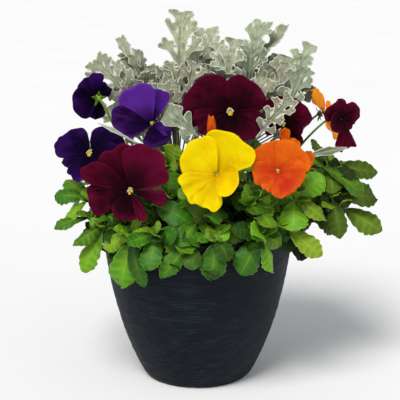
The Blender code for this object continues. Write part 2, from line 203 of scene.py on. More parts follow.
def bent(controls, face, shares):
    """The points, sideways and outward directions along a three-point curve whose front is face."""
    line = bezier(controls, shares)
    shares = shares[..., None]
    tangent = rows_unit((1 - shares) * (controls[1] - controls[0]) + shares * (controls[2] - controls[1]))
    side = rows_unit(np.cross(tangent, face))
    return line, side, np.cross(side, tangent)


def places(rows, columns, low=-1):
    """The places down a sheet from 0 to 1, and across it from low to 1."""
    return np.linspace(0, 1, rows)[:, None], np.linspace(low, 1, columns)[None, :]


def rows_of(x, y, z):
    """Points or vectors from their three parts, each a number or an array."""
    return np.stack(np.broadcast_arrays(x, y, z), -1)


def round_points(radius, turn, height):
    """Points at a distance from the upright axis, at an angle round it and at a height."""
    return rows_of(radius * np.cos(turn), radius * np.sin(turn), height)


def metres(millimetres):
    return np.array(millimetres) / 1000


def add_object(name, data):
    """A new object of the scene."""
    made = bpy.data.objects.new(name, data)
    bpy.context.scene.collection.objects.link(made)
    return made


def hump(value, width):
    """1 where the value is 0, falling away to 0 on both sides."""
    return np.exp(-((value / width) ** 2))


def fade(value, low, high):
    """0 below low, 1 above high, smooth between."""
    share = np.clip((value - low) / (high - low), 0.0, 1.0)
    return share * share * (3 - 2 * share)


class Waves:
    """A smooth random height field made of plane waves."""

    def __init__(self, rng, count, shortest, longest):
        directions = rows_unit(rng.normal(size=(count, 3)))
        self.waves = directions * (2 * math.pi / rng.uniform(shortest, longest, (count, 1)))
        self.phases = rng.uniform(0, 2 * math.pi, count)

    def at(self, points):
        return np.sin(points @ self.waves.T + self.phases).sum(-1) / math.sqrt(len(self.phases))


class Surface:
    """Points and faces for one mesh. Each point has a grain, which patterns follow, and a tone."""

    def __init__(self):
        self.points, self.grain, self.tone, self.faces, self.count = [], [], [], [], 0

    def add(self, points, faces, grain, tone):
        self.points.append(points)
        self.grain.append(np.broadcast_to(grain, (len(points), 3)))
        self.tone.append(np.broadcast_to(tone, (len(points), 3)))
        self.faces.extend((np.asarray(faces) + self.count).tolist())
        self.count += len(points)

    def grid(self, points, grain=NO_GRAIN, tone=PLAIN, closed=False):
        """Adds a sheet of rows of points, closed round each row if wanted. Gives the points' numbers."""
        start = self.count
        rows, columns = points.shape[:2]
        index = np.arange(rows * columns).reshape(rows, columns)
        if closed:
            index = np.concatenate([index, index[:, :1]], axis=1)
        corners = (index[:-1, :-1], index[:-1, 1:], index[1:, 1:], index[1:, :-1])
        grain = np.broadcast_to(grain, (rows, columns, 3)).reshape(-1, 3)
        tone = np.broadcast_to(tone, (rows, columns, 3)).reshape(-1, 3)
        self.add(points.reshape(-1, 3), np.stack(corners, -1).reshape(-1, 4), grain, tone)
        return index + start

    def drum(self, points, grain=NO_GRAIN, tone=PLAIN):
        """Adds a closed sheet with a cap on its first row and on its last."""
        index = self.grid(points, grain, tone, closed=True)
        self.faces += [index[0, :-1][::-1].tolist(), index[-1, :-1].tolist()]

    def tube(self, line, radii, tone, sides=8):
        """Adds a closed round stem along a line of points."""
        line = np.asarray(line, float)
        radii = np.broadcast_to(radii, len(line))
        tangents = rows_unit(np.gradient(line, axis=0))
        side = square_to(np.array((0.43, 0.77, 0.31)), tangents[0])
        cos, sin = np.cos(around(sides)), np.sin(around(sides))
        rings = []
        for point, tangent, radius in zip(line, tangents, radii):
            side = square_to(side, tangent)
            other = np.cross(tangent, side)
            rings.append(point + radius * (cos[:, None] * side + sin[:, None] * other))
        grain = rows_of(cos, np.linspace(0, 1, len(line))[:, None], 0.0)
        self.drum(np.array(rings), grain, tone)

    def mesh(self, name):
        made = bpy.data.meshes.new(name)
        made.from_pydata(np.concatenate(self.points).tolist(), [], self.faces)
        return made

    def piece(self, name, finish, slot, nodes, thickness=None):
        """The mesh as a piece that rides on the body, stands for its CAD nodes and has its finish."""
        mesh = self.mesh(name)
        for key, rows in (("grain", self.grain), ("tone", self.tone)):
            layer = mesh.attributes.new(key, "FLOAT_VECTOR", "POINT")
            layer.data.foreach_set("vector", np.concatenate(rows).astype(np.float32).ravel())
        mesh.shade_smooth()
        mesh.materials.append(finish)
        made = add_object(name, mesh)
        if thickness:
            step = made.modifiers.new("thickness", "SOLIDIFY")
            step.thickness = thickness
            step.offset = 0.0
        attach(made, "root")
        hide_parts(*nodes)
        return made


# The pot


POT_HEIGHT = 0.170
RIM_RADIUS = 0.103
BASE_RADIUS = 0.058
BELLY_RADIUS = 0.094
BELLY_HEIGHT = 0.065
WALL = 0.0030
FLOOR = 0.0040
LIP_WIDTH = 0.0055
LIP_DEPTH = 0.0060
MIX_TOP = 0.156
RIDGE_PITCH = 0.0026
RIDGE_HEIGHT = 0.00055
FOOT_RING = 0.0062
POT_COLUMNS, POT_ROWS = 160, 288
NOTCH_TURN, NOTCH_SPREAD, NOTCH_DEPTH = 4.62, 0.09, 0.0011
DRAIN_HOLES, DRAIN_RADIUS, DRAIN_CIRCLE = 5, 0.0045, 0.034
MIX_GAP = 0.0006
MIX_DIP = 0.0035
MIX_COLUMNS, MIX_RINGS = 128, 44
CHIPS = 150


def wall_radius(height):
    """The pot's outer radius at a height, on the quadratic curve from the base's edge to the rim."""
    bend = POT_HEIGHT - 2 * BELLY_HEIGHT
    along = (np.sqrt(BELLY_HEIGHT**2 + bend * height) - BELLY_HEIGHT) / bend
    start = BASE_RADIUS * (1 - along) ** 2
    middle = 2 * BELLY_RADIUS * along * (1 - along)
    return start + middle + RIM_RADIUS * along**2


def mix_radius(height):
    """The mix's radius at a height, a little inside the pot's wall."""
    return float(wall_radius(height)) - WALL - MIX_GAP


FOOT_RADIUS = float(wall_radius(0.0))


def ridges(height, angle, rng):
    """How far the combed ridges stand out of the pot's wall, wandering and breaking as they go round."""
    round_trip = rows_of(np.cos(angle) * 0.08, np.sin(angle) * 0.08, height * 0.25)
    drift = Waves(rng, 12, 0.04, 0.14).at(round_trip)
    strength = Waves(rng, 18, 0.012, 0.05).at(round_trip * (1, 1, 6.0))
    fine = Waves(rng, 26, 0.010, 0.03).at(round_trip * (1, 1, 14.0))
    phase = 2 * math.pi * height / RIDGE_PITCH + 1.2 * drift
    crest = 0.5 + 0.5 * np.sin(phase) + 0.22 * np.sin(2.37 * phase + 1.3 * strength)
    return crest * (0.62 + 0.3 * strength) + 0.20 * fine


def resin_finish():
    """Dark resin, streaked round the pot, with the ridge crests painted paler as a painted highlight."""
    resin = Recipe("charcoal_resin", 0.6, 0.12)
    x, y, z = resin.split(resin.place)
    streaks = resin.noise(30.0, 4.0, 0.62, resin.join(x, y, z * 20.0))
    cloud = resin.noise(16.0, 3.0, 0.55)
    grit = resin.noise(900.0, 2.0, 0.6)
    crest, _, _ = resin.split("grain")
    base = resin.mix(
        cloud.ramp((0.3, paint(7, 14, 22)), (0.7, paint(11, 19, 28))),
        # Painted highlight: the ridge crests are paler, where light catches them.
        (crest.smooth(0.25, 1.15) * (streaks + 0.35), (33, 42, 50)),
        (streaks.smooth(0.5, 0.75) * 0.22, (44, 51, 58)),
        (streaks.smooth(0.5, 0.28) * 0.6, (8, 11, 17)),
    )
    return resin.finish(base, streaks * 0.8 + grit * 0.25, 0.00035, streaks * 0.25 + 0.45)


def build_pot():
    rng = np.random.default_rng(11)
    angle = around(POT_COLUMNS)
    height, turn = np.meshgrid(np.linspace(0.0034, POT_HEIGHT - 0.0030, POT_ROWS), angle, indexing="ij")
    edge = fade(height, 0.002, 0.010) * (1 - fade(height, POT_HEIGHT - 0.009, POT_HEIGHT - 0.003))
    crest = ridges(height, turn, rng) * edge
    radius = wall_radius(height) + RIDGE_HEIGHT * crest - 0.0002
    # The rings under and over the ridged wall, as (how far in, height) and (how far in, how far down).
    foot = ((FOOT_RING, 0.0), (0.0026, 0.0), (0.0011, 0.0006), (0.0001, 0.0018))
    lip = ((0.0002, 0.0016), (0.0007, 0.0005), (0.0017, 0.0), (0.0040, 0.0), (0.0050, 0.0005),
           (LIP_WIDTH, 0.0016), (LIP_WIDTH, LIP_DEPTH))
    low = [(FOOT_RADIUS - inset, z) for inset, z in foot]
    rim = [(RIM_RADIUS - inset, POT_HEIGHT - down) for inset, down in lip]
    under = POT_HEIGHT - LIP_DEPTH
    rim.append((float(wall_radius(under)) - WALL, under - 0.0016))
    rim += [(float(wall_radius(z)) - WALL, z) for z in np.linspace(under - 0.006, FLOOR, 12)]
    rim.append((FOOT_RADIUS - FOOT_RING, FLOOR))
    rows = [round_points(radii, angle, z) for radii, z in (*low, *zip(radius, height), *rim)]
    rows = np.array(rows)
    # The foot has a shallow drip notch at the front.
    lift = NOTCH_DEPTH * hump(angle - NOTCH_TURN, NOTCH_SPREAD) * (1 - fade(rows[..., 2], 0.0, 0.006))
    rows[:len(low) + 1, :, 2] += lift[:len(low) + 1]
    pot = Surface()
    grain = np.zeros((*rows.shape[:2], 3))
    grain[len(low):len(low) + len(height), :, 0] = crest
    index = pot.grid(rows, grain, closed=True)
    # The ring's inner edge is closed by the wall of the floor piece.
    corners = (index[-1, :-1], index[-1, 1:], index[0, 1:], index[0, :-1])
    pot.faces.extend(np.stack(corners, -1).tolist())
    finish = resin_finish()
    pot.piece("pot", finish, "pot", ["planter_pot"])
    build_floor(finish)


def build_floor(finish):
    """The pot's floor with its drain holes, as one disc set into the pot's foot ring."""
    disc = Surface()
    rings = [round_points(FOOT_RADIUS - FOOT_RING, around(96), z) for z in (0.0, FLOOR)]
    disc.drum(np.array(rings))
    made = disc.piece("pot_floor", finish, "pot", ["planter_pot"])
    drill = Surface()
    for number in range(DRAIN_HOLES):
        middle = outward_at(2 * math.pi * number / DRAIN_HOLES)[0] * DRAIN_CIRCLE
        drill.tube((middle - UP * 0.01, middle, middle + UP * 0.01), DRAIN_RADIUS, PLAIN, sides=24)
    cutter = add_object("drain_holes", drill.mesh("drain_holes"))
    step = made.modifiers.new("holes", "BOOLEAN")
    step.operation = "DIFFERENCE"
    step.solver = "EXACT"
    step.object = cutter
    depsgraph = bpy.context.evaluated_depsgraph_get()
    cut = bpy.data.meshes.new_from_object(made.evaluated_get(depsgraph))
    made.modifiers.clear()
    made.data = cut
    bpy.data.objects.remove(cutter)


def build_mix():
    rng = np.random.default_rng(12)
    limit = mix_radius(MIX_TOP)
    angle = around(MIX_COLUMNS)
    share = np.linspace(0.02, 1.0, MIX_RINGS)
    radius, turn = np.meshgrid(share * limit, angle, indexing="ij")
    flat = round_points(radius, turn, 0.0)
    lumps = 0.0016 * Waves(rng, 24, 0.006, 0.02).at(flat) + 0.0007 * Waves(rng, 30, 0.002, 0.005).at(flat)
    edge = fade(share, 0.86, 1.0)[:, None]
    flat[..., 2] = MIX_TOP - MIX_DIP * edge + lumps * (1 - 0.7 * edge)
    below = [round_points(mix_radius(z), angle, z) for z in (0.13, 0.09, 0.05, 0.012, 0.0052)]
    soil = Surface()
    soil.drum(np.array([*flat, *below]))
    # Bark chips and perlite lie in the top of the mix.
    for number in range(CHIPS):
        turn, away = rng.uniform(0, 2 * math.pi), limit * 0.96 * math.sqrt(rng.uniform(0.02, 1.0))
        pale = number % 4 == 0
        size = rng.uniform(0.0008, 0.0016) if pale else rng.uniform(0.0012, 0.0032)
        middle = round_points(away, turn, MIX_TOP + rng.uniform(-0.001, 0.0012))
        way = unit(rng.normal(size=3) * (1, 1, 0.3))
        reach = size * (1.0 if pale else rng.uniform(1.2, 2.4))
        steps = np.linspace(-1, 1, 5)
        line = middle + steps[:, None] * way * reach
        radii = size * np.sqrt(1.02 - steps**2) * rng.uniform(0.7, 1.1, 5)
        soil.tube(line, radii, (float(pale), rng.uniform(), 0.0), sides=6)
    peat = Recipe("potting_mix", 0.95, 0.15)
    pale, chance, _ = peat.split("tone")
    crumbs = peat.noise(420.0, 5.0, 0.7)
    patches = peat.noise(60.0, 3.0, 0.6)
    base = peat.mix(
        crumbs.ramp((0.35, paint(16, 12, 9)), (0.55, paint(36, 27, 20)), (0.75, paint(70, 54, 40))),
        (patches * 0.4, (30, 24, 20)),
        (pale.smooth(0.6, 0.9), (196, 190, 178)),
        (pale.smooth(0.3, 0.0) * 0.6, peat.mix((70, 46, 30), (chance, (112, 80, 52)))),
    )
    soil.piece("potting_mix_top", peat.finish(base, crumbs, 0.0012), "mix", ["potting_mix"])


# Leaves


def pansy_leaf(plant, foot, tip, width, rng, tone, face=None, petiole=0.16, arch=0.16, fold=None):
    """One leaf from its foot on a shoot to its tip: a petiole and a blade with teeth and sunken veins."""
    along = tip - foot
    length = np.linalg.norm(along)
    if face is None:
        front = (0.7 + 0.7 * fade(tip[0], 0.08, 0.13)) * (1 - fade(tip[1], -0.02, 0.07))
        face = 0.6 * unit(tip * (1, 1, 0)) + 0.9 * UP + front * FRONT
    face = turned(square_to(face, along / length), along / length, rng.normal(0, 0.20))
    controls = np.array((foot, foot + 0.5 * along + face * arch * length, tip))
    stalk = bezier(controls, np.linspace(0, petiole + 0.06, 5)) - face * 0.0004
    plant.stems.tube(stalk, np.linspace(0.0010, 0.0007, 5), (0.6 * tone[0], tone[1], 0.0), sides=6)
    big = length > 0.026
    teeth = 5.5 if big else 3.5
    rows = 31 if big else 19
    columns = np.array((-1, -0.84, -0.45, 0, 0.45, 0.84, 1) if big else (-1, -0.75, 0, 0.75, 1))
    t = 1 - (1 - np.linspace(0, 1, rows)[:, None]) ** 1.5
    v = columns[None, :]
    point = fade(tip[0], 0.09, 0.15) * 0.35 + rng.uniform(0.0, 0.18)
    bias = rng.uniform(0.92, 1.14)
    tooth = np.abs(np.sin(math.pi * teeth * t + 0.3)) ** 0.8
    swell = np.maximum(np.sin(math.pi * np.clip(t, 0.0, 1.0) ** bias), 0.0)
    half = 0.52 * width * swell ** (0.49 + 0.42 * point)
    half = np.maximum(half, 0.0009 * (1 - fade(t, 0.9, 1.0)))
    across = v * half * (1 - 0.17 * (1 - tooth) * np.abs(v) ** 5 * fade(t, 0.10, 0.28))
    spot = t + 0.11 * np.abs(v) * np.sin(math.pi * t) ** 1.5
    share = petiole + (1 - petiole) * np.minimum(spot, 1.0)
    line, side, out = bent(controls, face, share)
    fold = rng.uniform(-0.05, 0.30) if fold is None else fold
    twist = rng.normal(0, 0.24) * (t - 0.3) + 0.0 * v
    side, out = (
        side * np.cos(twist)[..., None] + out * np.sin(twist)[..., None],
        out * np.cos(twist)[..., None] - side * np.sin(twist)[..., None],
    )
    puckers = -0.00036 * np.cos(2 * math.pi * teeth * t + 0.5) * np.abs(v) * (1.15 - np.abs(v)) * 2
    phase = rng.uniform(0, 6.28, 3)
    sway = 0.09 * width * v * np.abs(v) * np.sin(math.pi * rng.uniform(1.0, 2.0) * t + phase[0])
    sway += 0.035 * width * np.abs(v) ** 3 * np.sin(math.pi * rng.uniform(3.0, 5.0) * t + phase[1])
    droop = rng.uniform(0.15, 1.1)
    lift = np.abs(across) * fold - droop * across**2 / width + puckers + sway
    lift = lift - rng.uniform(-0.04, 0.12) * length * t**3 - 0.0004 * hump(v, 0.15)
    points = line + side * across[..., None] + out * lift[..., None]
    plant.blades.grid(points, rows_of(v, t, teeth * t / 8), tone)


def leaf_tone(place, rng, young=0.0):
    """How light, olive and young a leaf is, by its place: the right side is more olive and duller, its
    dullness partly painted shade.
    """
    right = fade(place[0], 0.05, 0.15)
    light = np.clip(rng.normal(0.62 - 0.30 * right, 0.25) + 0.2 * young, 0.0, 1.0)
    olive = np.clip(rng.normal(0.25 + 0.5 * right, 0.22), 0.0, 1.0)
    return (float(light), float(olive), float(young))


def leaf_finish():
    leaf = Recipe("pansy_leaf", 0.45, 0.18)
    across, along, beat = leaf.split("grain")
    light, olive, young = leaf.split("tone")
    away = across.calc("ABSOLUTE")
    cloud = leaf.noise(55.0, 2.0, 0.5)
    wander = leaf.noise(160.0, 3.0, 0.6)
    fine = leaf.noise(800.0, 3.0, 0.6)
    wedge = (beat * 8.0 + wander * 0.3).calc("PINGPONG", 0.5)
    side_vein = wedge.smooth(0.08, 0.0) * away.smooth(0.98, 0.4)
    vein = away.smooth(0.10, 0.01).calc("MAXIMUM", side_vein * 0.75)
    # The light tone picks dark to bright green. The dark green of leaves inside the planting is painted
    # shade.
    shaded_green = leaf.mix((4, 20, 2), (olive, (14, 22, 4)))
    middle = leaf.mix((42, 102, 8), (olive, (74, 94, 14)))
    bright = leaf.mix((102, 164, 18), (olive, (134, 150, 32)))
    level = light * 0.95 + cloud * 0.30
    base = leaf.mix(
        shaded_green,
        (level.smooth(0.08, 0.62), middle),
        (level.smooth(0.55, 1.10), bright),
        # Painted highlight: a paler middle on lit leaves.
        (away.smooth(0.55, 0.05) * along.smooth(0.9, 0.2) * light * 0.45, (136, 176, 34)),
        (young * 0.65, (140, 184, 42)),
        (fine.smooth(0.52, 0.8) * 0.25, (24, 62, 14)),
        # Painted shade: leaf bases are darker, where they sit inside the canopy.
        (along.smooth(0.55, 0.0) * (1.0 - young) * 0.55, shaded_green),
        # Painted shade in the hollows between the side veins.
        (wedge.smooth(0.12, 0.45) * away.smooth(0.05, 0.5) * 0.28, (20, 60, 8)),
        (vein * light * 0.42, (150, 190, 84)),
        # Painted highlight: paler margins on lit leaves.
        (away.smooth(0.86, 1.0) * light * 0.50, (150, 190, 76)),
    )
    return leaf.finish(base, vein * -0.6 + fine * 0.20 + wander * 0.5, 0.0007, wander * 0.26 + 0.30)


def stem_finish(name, dark, pale):
    stem = Recipe(name, 0.5, 0.3)
    light, _, reddish = stem.split("tone")
    x, y, z = stem.split(stem.place)
    streak = stem.noise(900.0, 3.0, 0.6, stem.join(x, y, z * 0.15))
    cloud = stem.noise(90.0, 2.0, 0.5)
    # A low light tone darkens stems inside the planting: painted shade.
    base = stem.mix(dark, (light * 0.6 + streak * 0.5, pale), (reddish * cloud, (84, 50, 42)))
    return stem.finish(base, streak)


# Flower heads


PETAL_RINGS, PETAL_FANS = 14, 24
PETAL_START = 0.05
PETAL_THICKNESS = 0.00045


def petal(surface, frame_of, rng, kind, angle, length, spread, order, rise, bend, tone,
          skew=0.0, blunt=4.2, ruffle=1.0, curl=0.0, cup=0.0):
    """One petal as a fan from the eye, in millimetres and degrees.

    order lifts the whole petal. rise is the slope at the claw, bend how much more it slopes at the margin,
    and curl the extra roll of the margin, all towards the viewer. tone runs from dark to light as painted
    shade and light. skew makes one side longer, blunt squares the end off, ruffle waves it and cup lifts its
    sides.
    """
    eye, right, up, out = frame_of
    fans = np.linspace(-1, 1, PETAL_FANS + 1)
    shares = PETAL_START + (1 - PETAL_START) * np.linspace(0, 1, PETAL_RINGS + 1) ** 0.85
    s, v = np.meshgrid(shares, fans, indexing="ij")
    reach = length * (0.42 + 0.58 * (1 - np.abs(v) ** blunt) ** 0.40) * (1 + skew * v)
    phases = rng.uniform(0, 2 * math.pi, 6)
    reach *= 1 + 0.018 * ruffle * (np.sin(5.3 * v + phases[0]) + 0.7 * np.sin(11.0 * v + phases[1]))
    slope = np.radians(rise + bend * s**1.3 + curl * fade(s, 0.66, 1.0))
    step = np.diff(shares, prepend=0.0)[:, None] * reach
    radius = np.cumsum(step * np.cos(slope), axis=0)
    height = np.cumsum(step * np.sin(slope), axis=0)
    turn = math.radians(angle) + v * math.radians(spread)
    height = height + order + 0.6 * s * np.sin(math.radians(angle) * 2 + v)
    ripple = np.sin(6.1 * v + phases[2]) + 0.7 * np.sin(10.7 * v + phases[3])
    ripple = ripple + 0.35 * np.sin(19 * v + phases[4])
    height = height + 0.75 * ruffle * s**3 * ripple
    height = height + cup * (v**2) * s * length * 0.1
    height = height - 0.35 * hump(v, 0.16) * s * (1.1 - s) * 4
    height = height + 0.10 * np.sin(v * spread * 0.42 + phases[5]) * s
    flat = round_points(radius, turn, angle)
    height = height + 0.45 * ruffle * Waves(rng, 8, 11, 30).at(flat) * s
    spot = eye + MM * (flat[..., :1] * right + flat[..., 1:2] * up + height[..., None] * out)
    surface.grid(spot, rows_of(v, s, kind), (tone, rng.uniform(), spread / 60.0))


UPPER, LATERAL, LOWER = 0.0, 0.5, 1.0


def petal_finish(name, upper, lower, margin, throat, rays, ray_strength, glow, heart=(0.62, 0.18)):
    """A velvety petal finish, darker or redder towards the eye, with rays of colour along the petal."""
    velvet = Recipe(
        name, 0.62, 0.03, Sheen_Weight=0.03, Sheen_Roughness=0.45, Sheen_Tint=paint(*margin),
        Subsurface_Weight=glow, Subsurface_Scale=0.006, Subsurface_Radius=(1.0, 0.5, 0.1),
    )
    across, along, kind = velvet.split("grain")
    light, chance, spread = velvet.split("tone")
    wander = velvet.noise(60.0, 2.0, 0.5)
    turn = across * spread * 15.0 + chance * 40.0 + wander * 1.2
    streak = velvet.noise(1.0, 3.0, 0.62, velvet.join(turn, along * 1.6, kind))
    fine = velvet.noise(1.0, 2.0, 0.6, velvet.join(turn * 5.0, along * 3.0, kind))
    grit = velvet.noise(1400.0, 2.0, 0.6)
    base = velvet.mix(
        upper,
        (kind, lower),
        # Painted light and shade of the folds: soft patches towards the margin colour and towards the throat
        # colour.
        (wander.smooth(0.45, 0.75) * 0.5, margin),
        (wander.smooth(0.55, 0.25) * 0.5, throat),
        # Each petal's light tone paints it lit or shaded.
        (light.smooth(0.5, 1.0) * 0.8, margin),
        (light.smooth(0.5, 0.0) * 0.8, throat),
        (along.smooth(0.70, 1.0) * 0.5 * streak.smooth(0.3, 0.6), margin),
        ((along + streak * 0.35).smooth(*heart) * 0.85, throat),
        (streak.smooth(0.52, 0.66) * along.smooth(0.95, 0.25) * ray_strength, rays),
        (streak.smooth(0.48, 0.34) * along.smooth(0.3, 0.8) * 0.35, margin),
        (fine.smooth(0.45, 0.7) * 0.18, margin),
    )
    return velvet.finish(base, streak * 0.5 + fine * 0.3 + grit * 0.08, 0.0005, grit * 0.25 + 0.5)


def facing(turn, tilt):
    """A flower's axes: to its right as one looks at it, up its face and out of its face."""
    turn, tilt = math.radians(turn), math.radians(tilt)
    out = np.array((math.sin(turn) * math.cos(tilt), -math.cos(turn) * math.cos(tilt), math.sin(tilt)))
    right = unit(np.cross(UP, out))
    return right, np.cross(out, right), out


# Each flower head: its CAD node's eye, the way it faces (turned from the front towards +X, tilted up), its
# colour, how large its throat is, and its petals as (kind, angle, length, spread, order, rise, bend, tone),
# with any other options. Each petal's tone paints its light and shade.
FLOWERS = {
    "burgundy_low": ((-0.0664, -0.09, 0.223), (-5, 0), "burgundy", 1.3, (
        (UPPER, 110, 46, 42, -2.0, -8, 22, 0.66, dict(ruffle=1.7, blunt=3.2)),
        (UPPER, 56, 49, 50, -1.0, -4, 22, 0.8, dict(ruffle=1.8, skew=0.06, blunt=3.0)),
        (LATERAL, 149, 51, 22, 0.6, 8, 6, 0.66, dict(skew=0.1, blunt=2.6, curl=12)),
        (LATERAL, 194, 43, 32, 0.9, 10, -12, 0.4, dict(skew=0.05)),
        (LATERAL, -12, 38, 17, 0.4, 14, -16, 0.7),
        (LOWER, 267, 30, 52, 1.5, 12, 10, 0.34, dict(ruffle=1.3)),
        (LATERAL, -54, 41, 12, 1.8, 30, 10, 0.98, dict(curl=40)),
    )),
    "indigo_low": ((-0.11, -0.042, 0.252), (-15, 5), "indigo", 1.4, (
        (UPPER, 146, 35, 44, -1.4, -18, 10, 0.45, dict(skew=0.3)),
        (UPPER, 44, 34, 50, -1.0, -18, 10, 0.58, dict(skew=-0.25)),
        (LATERAL, 172, 37, 25, 0.6, 4, 8, 0.55),
        (LATERAL, -8, 33, 38, 0.5, 6, 6, 0.4),
        (LOWER, 272, 23, 50, 1.1, 10, -10, 0.25),
        (LATERAL, 206, 30, 16, 0.9, 6, 10, 0.35),
        (LOWER, 236, 36, 22, 0.2, -20, 26, 0.98, dict(cup=1.6)),
    )),
    "indigo_high": ((-0.105, 0.0, 0.3025), (200, 5), "indigo", 1.0, (
        (LATERAL, -18, 28, 56, 0.4, 10, -24, 0.45, dict(skew=-0.05)),
        (UPPER, 84, 27, 24, -0.6, -4, -10, 0.8),
        (LATERAL, 142, 18, 44, 0.0, 2, 30, 0.35, dict(ruffle=2.2)),
        (LOWER, 268, 25, 30, 0.6, 4, 10, 0.55),
        (UPPER, 44, 24, 34, -1.0, 8, 10, 0.4),
    )),
    "violet": ((-0.0472, -0.022, 0.2775), (12, 0), "violet", 0.7, (
        (UPPER, 78, 37, 30, -1.8, -14, 20, 0.62),
        (UPPER, 118, 46, 37, -0.8, -8, 28, 0.9, dict(skew=0.04, blunt=3.2)),
        (LATERAL, 176, 47, 34, 1.4, 16, 8, 0.12, dict(curl=22, blunt=3.6, skew=-0.3)),
        (LATERAL, -10, 22, 38, 1.0, 26, -30, 0.8),
        (LOWER, 290, 24, 58, 1.6, 12, -6, 0.05),
    )),
    "burgundy_high": ((0.0335, -0.01, 0.29), (5, 5), "burgundy", 1.75, (
        (UPPER, 149, 48, 60, -1.6, -8, 20, 0.5, dict(skew=0.2, ruffle=1.0)),
        (UPPER, 48, 39, 54, -0.8, -4, 16, 0.3, dict(skew=-0.05, ruffle=0.9)),
        (LATERAL, 202, 39.5, 30, 0.3, 6, 4, 0.4),
        (LATERAL, -36, 38, 38, 0.8, 8, 4, 0.62, dict(skew=-0.03)),
        (LOWER, 256, 28, 50, 1.5, 10, 0, 0.05),
    )),
    "yellow": ((0.019, -0.098, 0.24), (-4, 8), "yellow", 0.6, (
        (UPPER, 66, 43.5, 56, -2.6, -10, 24, 0.6, dict(ruffle=1.5)),
        (UPPER, 137, 41, 49, 0.2, 4, 14, 0.7, dict(skew=-0.06, ruffle=1.2)),
        (LATERAL, 206, 37.5, 36, 0.8, 8, 6, 0.55, dict(ruffle=1.6)),
        (LATERAL, -20, 33, 70, 0.4, 44, -6, 0.4, dict(curl=30, ruffle=0.8)),
        (LOWER, 252, 35.5, 34, 1.5, 12, 10, 0.5, dict(ruffle=1.7)),
    )),
    "orange": ((0.079, -0.088, 0.241), (2, 5), "orange", 0.55, (
        (UPPER, 120, 31.5, 50, -2.0, -8, 18, 0.6),
        (UPPER, 46, 33.5, 54, -1.2, -4, 16, 0.66),
        (LATERAL, 182, 26, 40, 0.3, 6, 6, 0.5),
        (LATERAL, -4, 27, 46, 0.5, 6, 6, 0.5),
        (LATERAL, 230, 22, 30, 0.9, 8, 4, 0.5),
        (LOWER, 289, 25.5, 46, 1.5, 10, 8, 0.45, dict(ruffle=1.2)),
    )),
    "orange_behind": ((0.092, -0.048, 0.25), (15, 10), "orange", 1.0, (
        (UPPER, 98, 28, 15, -1.2, -4, 16, 0.5, dict(curl=20)),
        (UPPER, 58, 18, 30, -0.8, -4, 16, 0.45),
        (LATERAL, 186, 22, 40, 0.4, 6, 8, 0.45),
        (LATERAL, -22, 27, 32, 0.4, 8, 8, 0.35),
        (LOWER, 270, 22, 44, 1.0, 8, 8, 0.4),
    )),
    # This flower takes a brighter copy of the orange finish: painted light.
    "orange_side": ((0.139, 0.046, 0.28), (75, 25), "amber", 1.0, (
        (UPPER, 118, 29, 40, -1.2, 4, -10, 0.6, dict(ruffle=1.6)),
        (UPPER, 66, 29, 44, -0.8, 4, -8, 0.6),
        (LATERAL, 186, 24, 44, 0.2, 12, -6, 0.5),
        (LATERAL, -6, 22, 44, 0.3, 16, -10, 0.4),
        (LOWER, 254, 33, 50, 0.8, 4, -10, 0.6, dict(ruffle=1.4)),
    )),
    "burgundy_side": ((0.091, 0.004, 0.2725), (-15, 5), "burgundy", 0.7, (
        (UPPER, 112, 33, 38, -1.2, -4, 20, 0.7, dict(curl=30)),
        (UPPER, 40, 31, 46, -0.8, -6, 16, 0.5),
        (LATERAL, 186, 22, 40, 0.3, 6, 8, 0.5),
        (LATERAL, -10, 22, 40, 0.3, 8, -8, 0.3),
        (LOWER, 296, 29, 40, 0.9, 10, -8, 0.15),
    )),
    "burgundy_right": ((0.15, 0.0, 0.28), (25, -10), "burgundy", 0.15, (
        (UPPER, 132, 23, 56, 1.0, 2, 8, 0.42, dict(ruffle=1.6)),
        (UPPER, 28, 24, 50, 1.4, 4, -6, 0.6, dict(ruffle=2.0, blunt=1.5)),
        (LATERAL, 200, 16.5, 72, 2.2, 10, 8, 0.25),
        (LATERAL, -30, 17, 60, 2.0, 10, -10, 0.5, dict(ruffle=1.8)),
        (LOWER, 286, 35, 26, 2.6, 12, -16, 0.75, dict(ruffle=2.6)),
    )),
}
BUD = ("orange_bud", (0.014, -0.046, 0.266), 0.0045, 0.024)
CALYX_BACK = 0.0043
SEPALS, SEPAL_WIDTH = 5, 0.0030
HAIRS = 18


def build_eye(surface, frame_of, rng, size):
    """The throat: a small green knob over a yellow lip, with a tuft of white hairs at each side."""
    eye, right, up, out = frame_of
    knob = np.linspace(-1, 1, 7)
    line = eye + MM * size * (out * 1.5 + up * 0.9) + knob[:, None] * MM * size * (0.5 * out + 0.8 * up)
    surface.tube(line, MM * 0.8 * size * np.sqrt(1.01 - knob**2), (0.0, 0.3, 0.0), sides=8)
    t, v = places(7, 7)
    width = 1.5 * np.sin(math.pi * (0.18 + 0.62 * t))
    lip = eye + MM * size * (
        (v * width)[..., None] * right
        - (3.6 * t - 0.8 + 0.3 * v**2)[..., None] * up
        + (1.5 + 1.0 * t - 0.5 * v**2)[..., None] * out
    )
    surface.grid(lip, tone=(0.0, 0.9, 0.0))
    for side in (-1, 1):
        for number in range(HAIRS):
            share = number / (HAIRS - 1)
            foot = eye + MM * size * (
                right * side * (0.7 + 1.5 * share) + up * (1.5 - 2.0 * share + rng.normal(0, 0.2))
                + out * rng.uniform(1.0, 1.7)
            )
            way = unit(-right * side * rng.uniform(0.0, 0.7) - up * rng.uniform(0.2, 1.0) + out * 0.6)
            hair = foot + np.array((0.0, 0.5, 1.0))[:, None] * way * MM * size * rng.uniform(0.9, 1.5)
            surface.tube(hair, np.array((0.20, 0.17, 0.08)) * MM * size, (1.0, rng.uniform(), 0.0), sides=4)


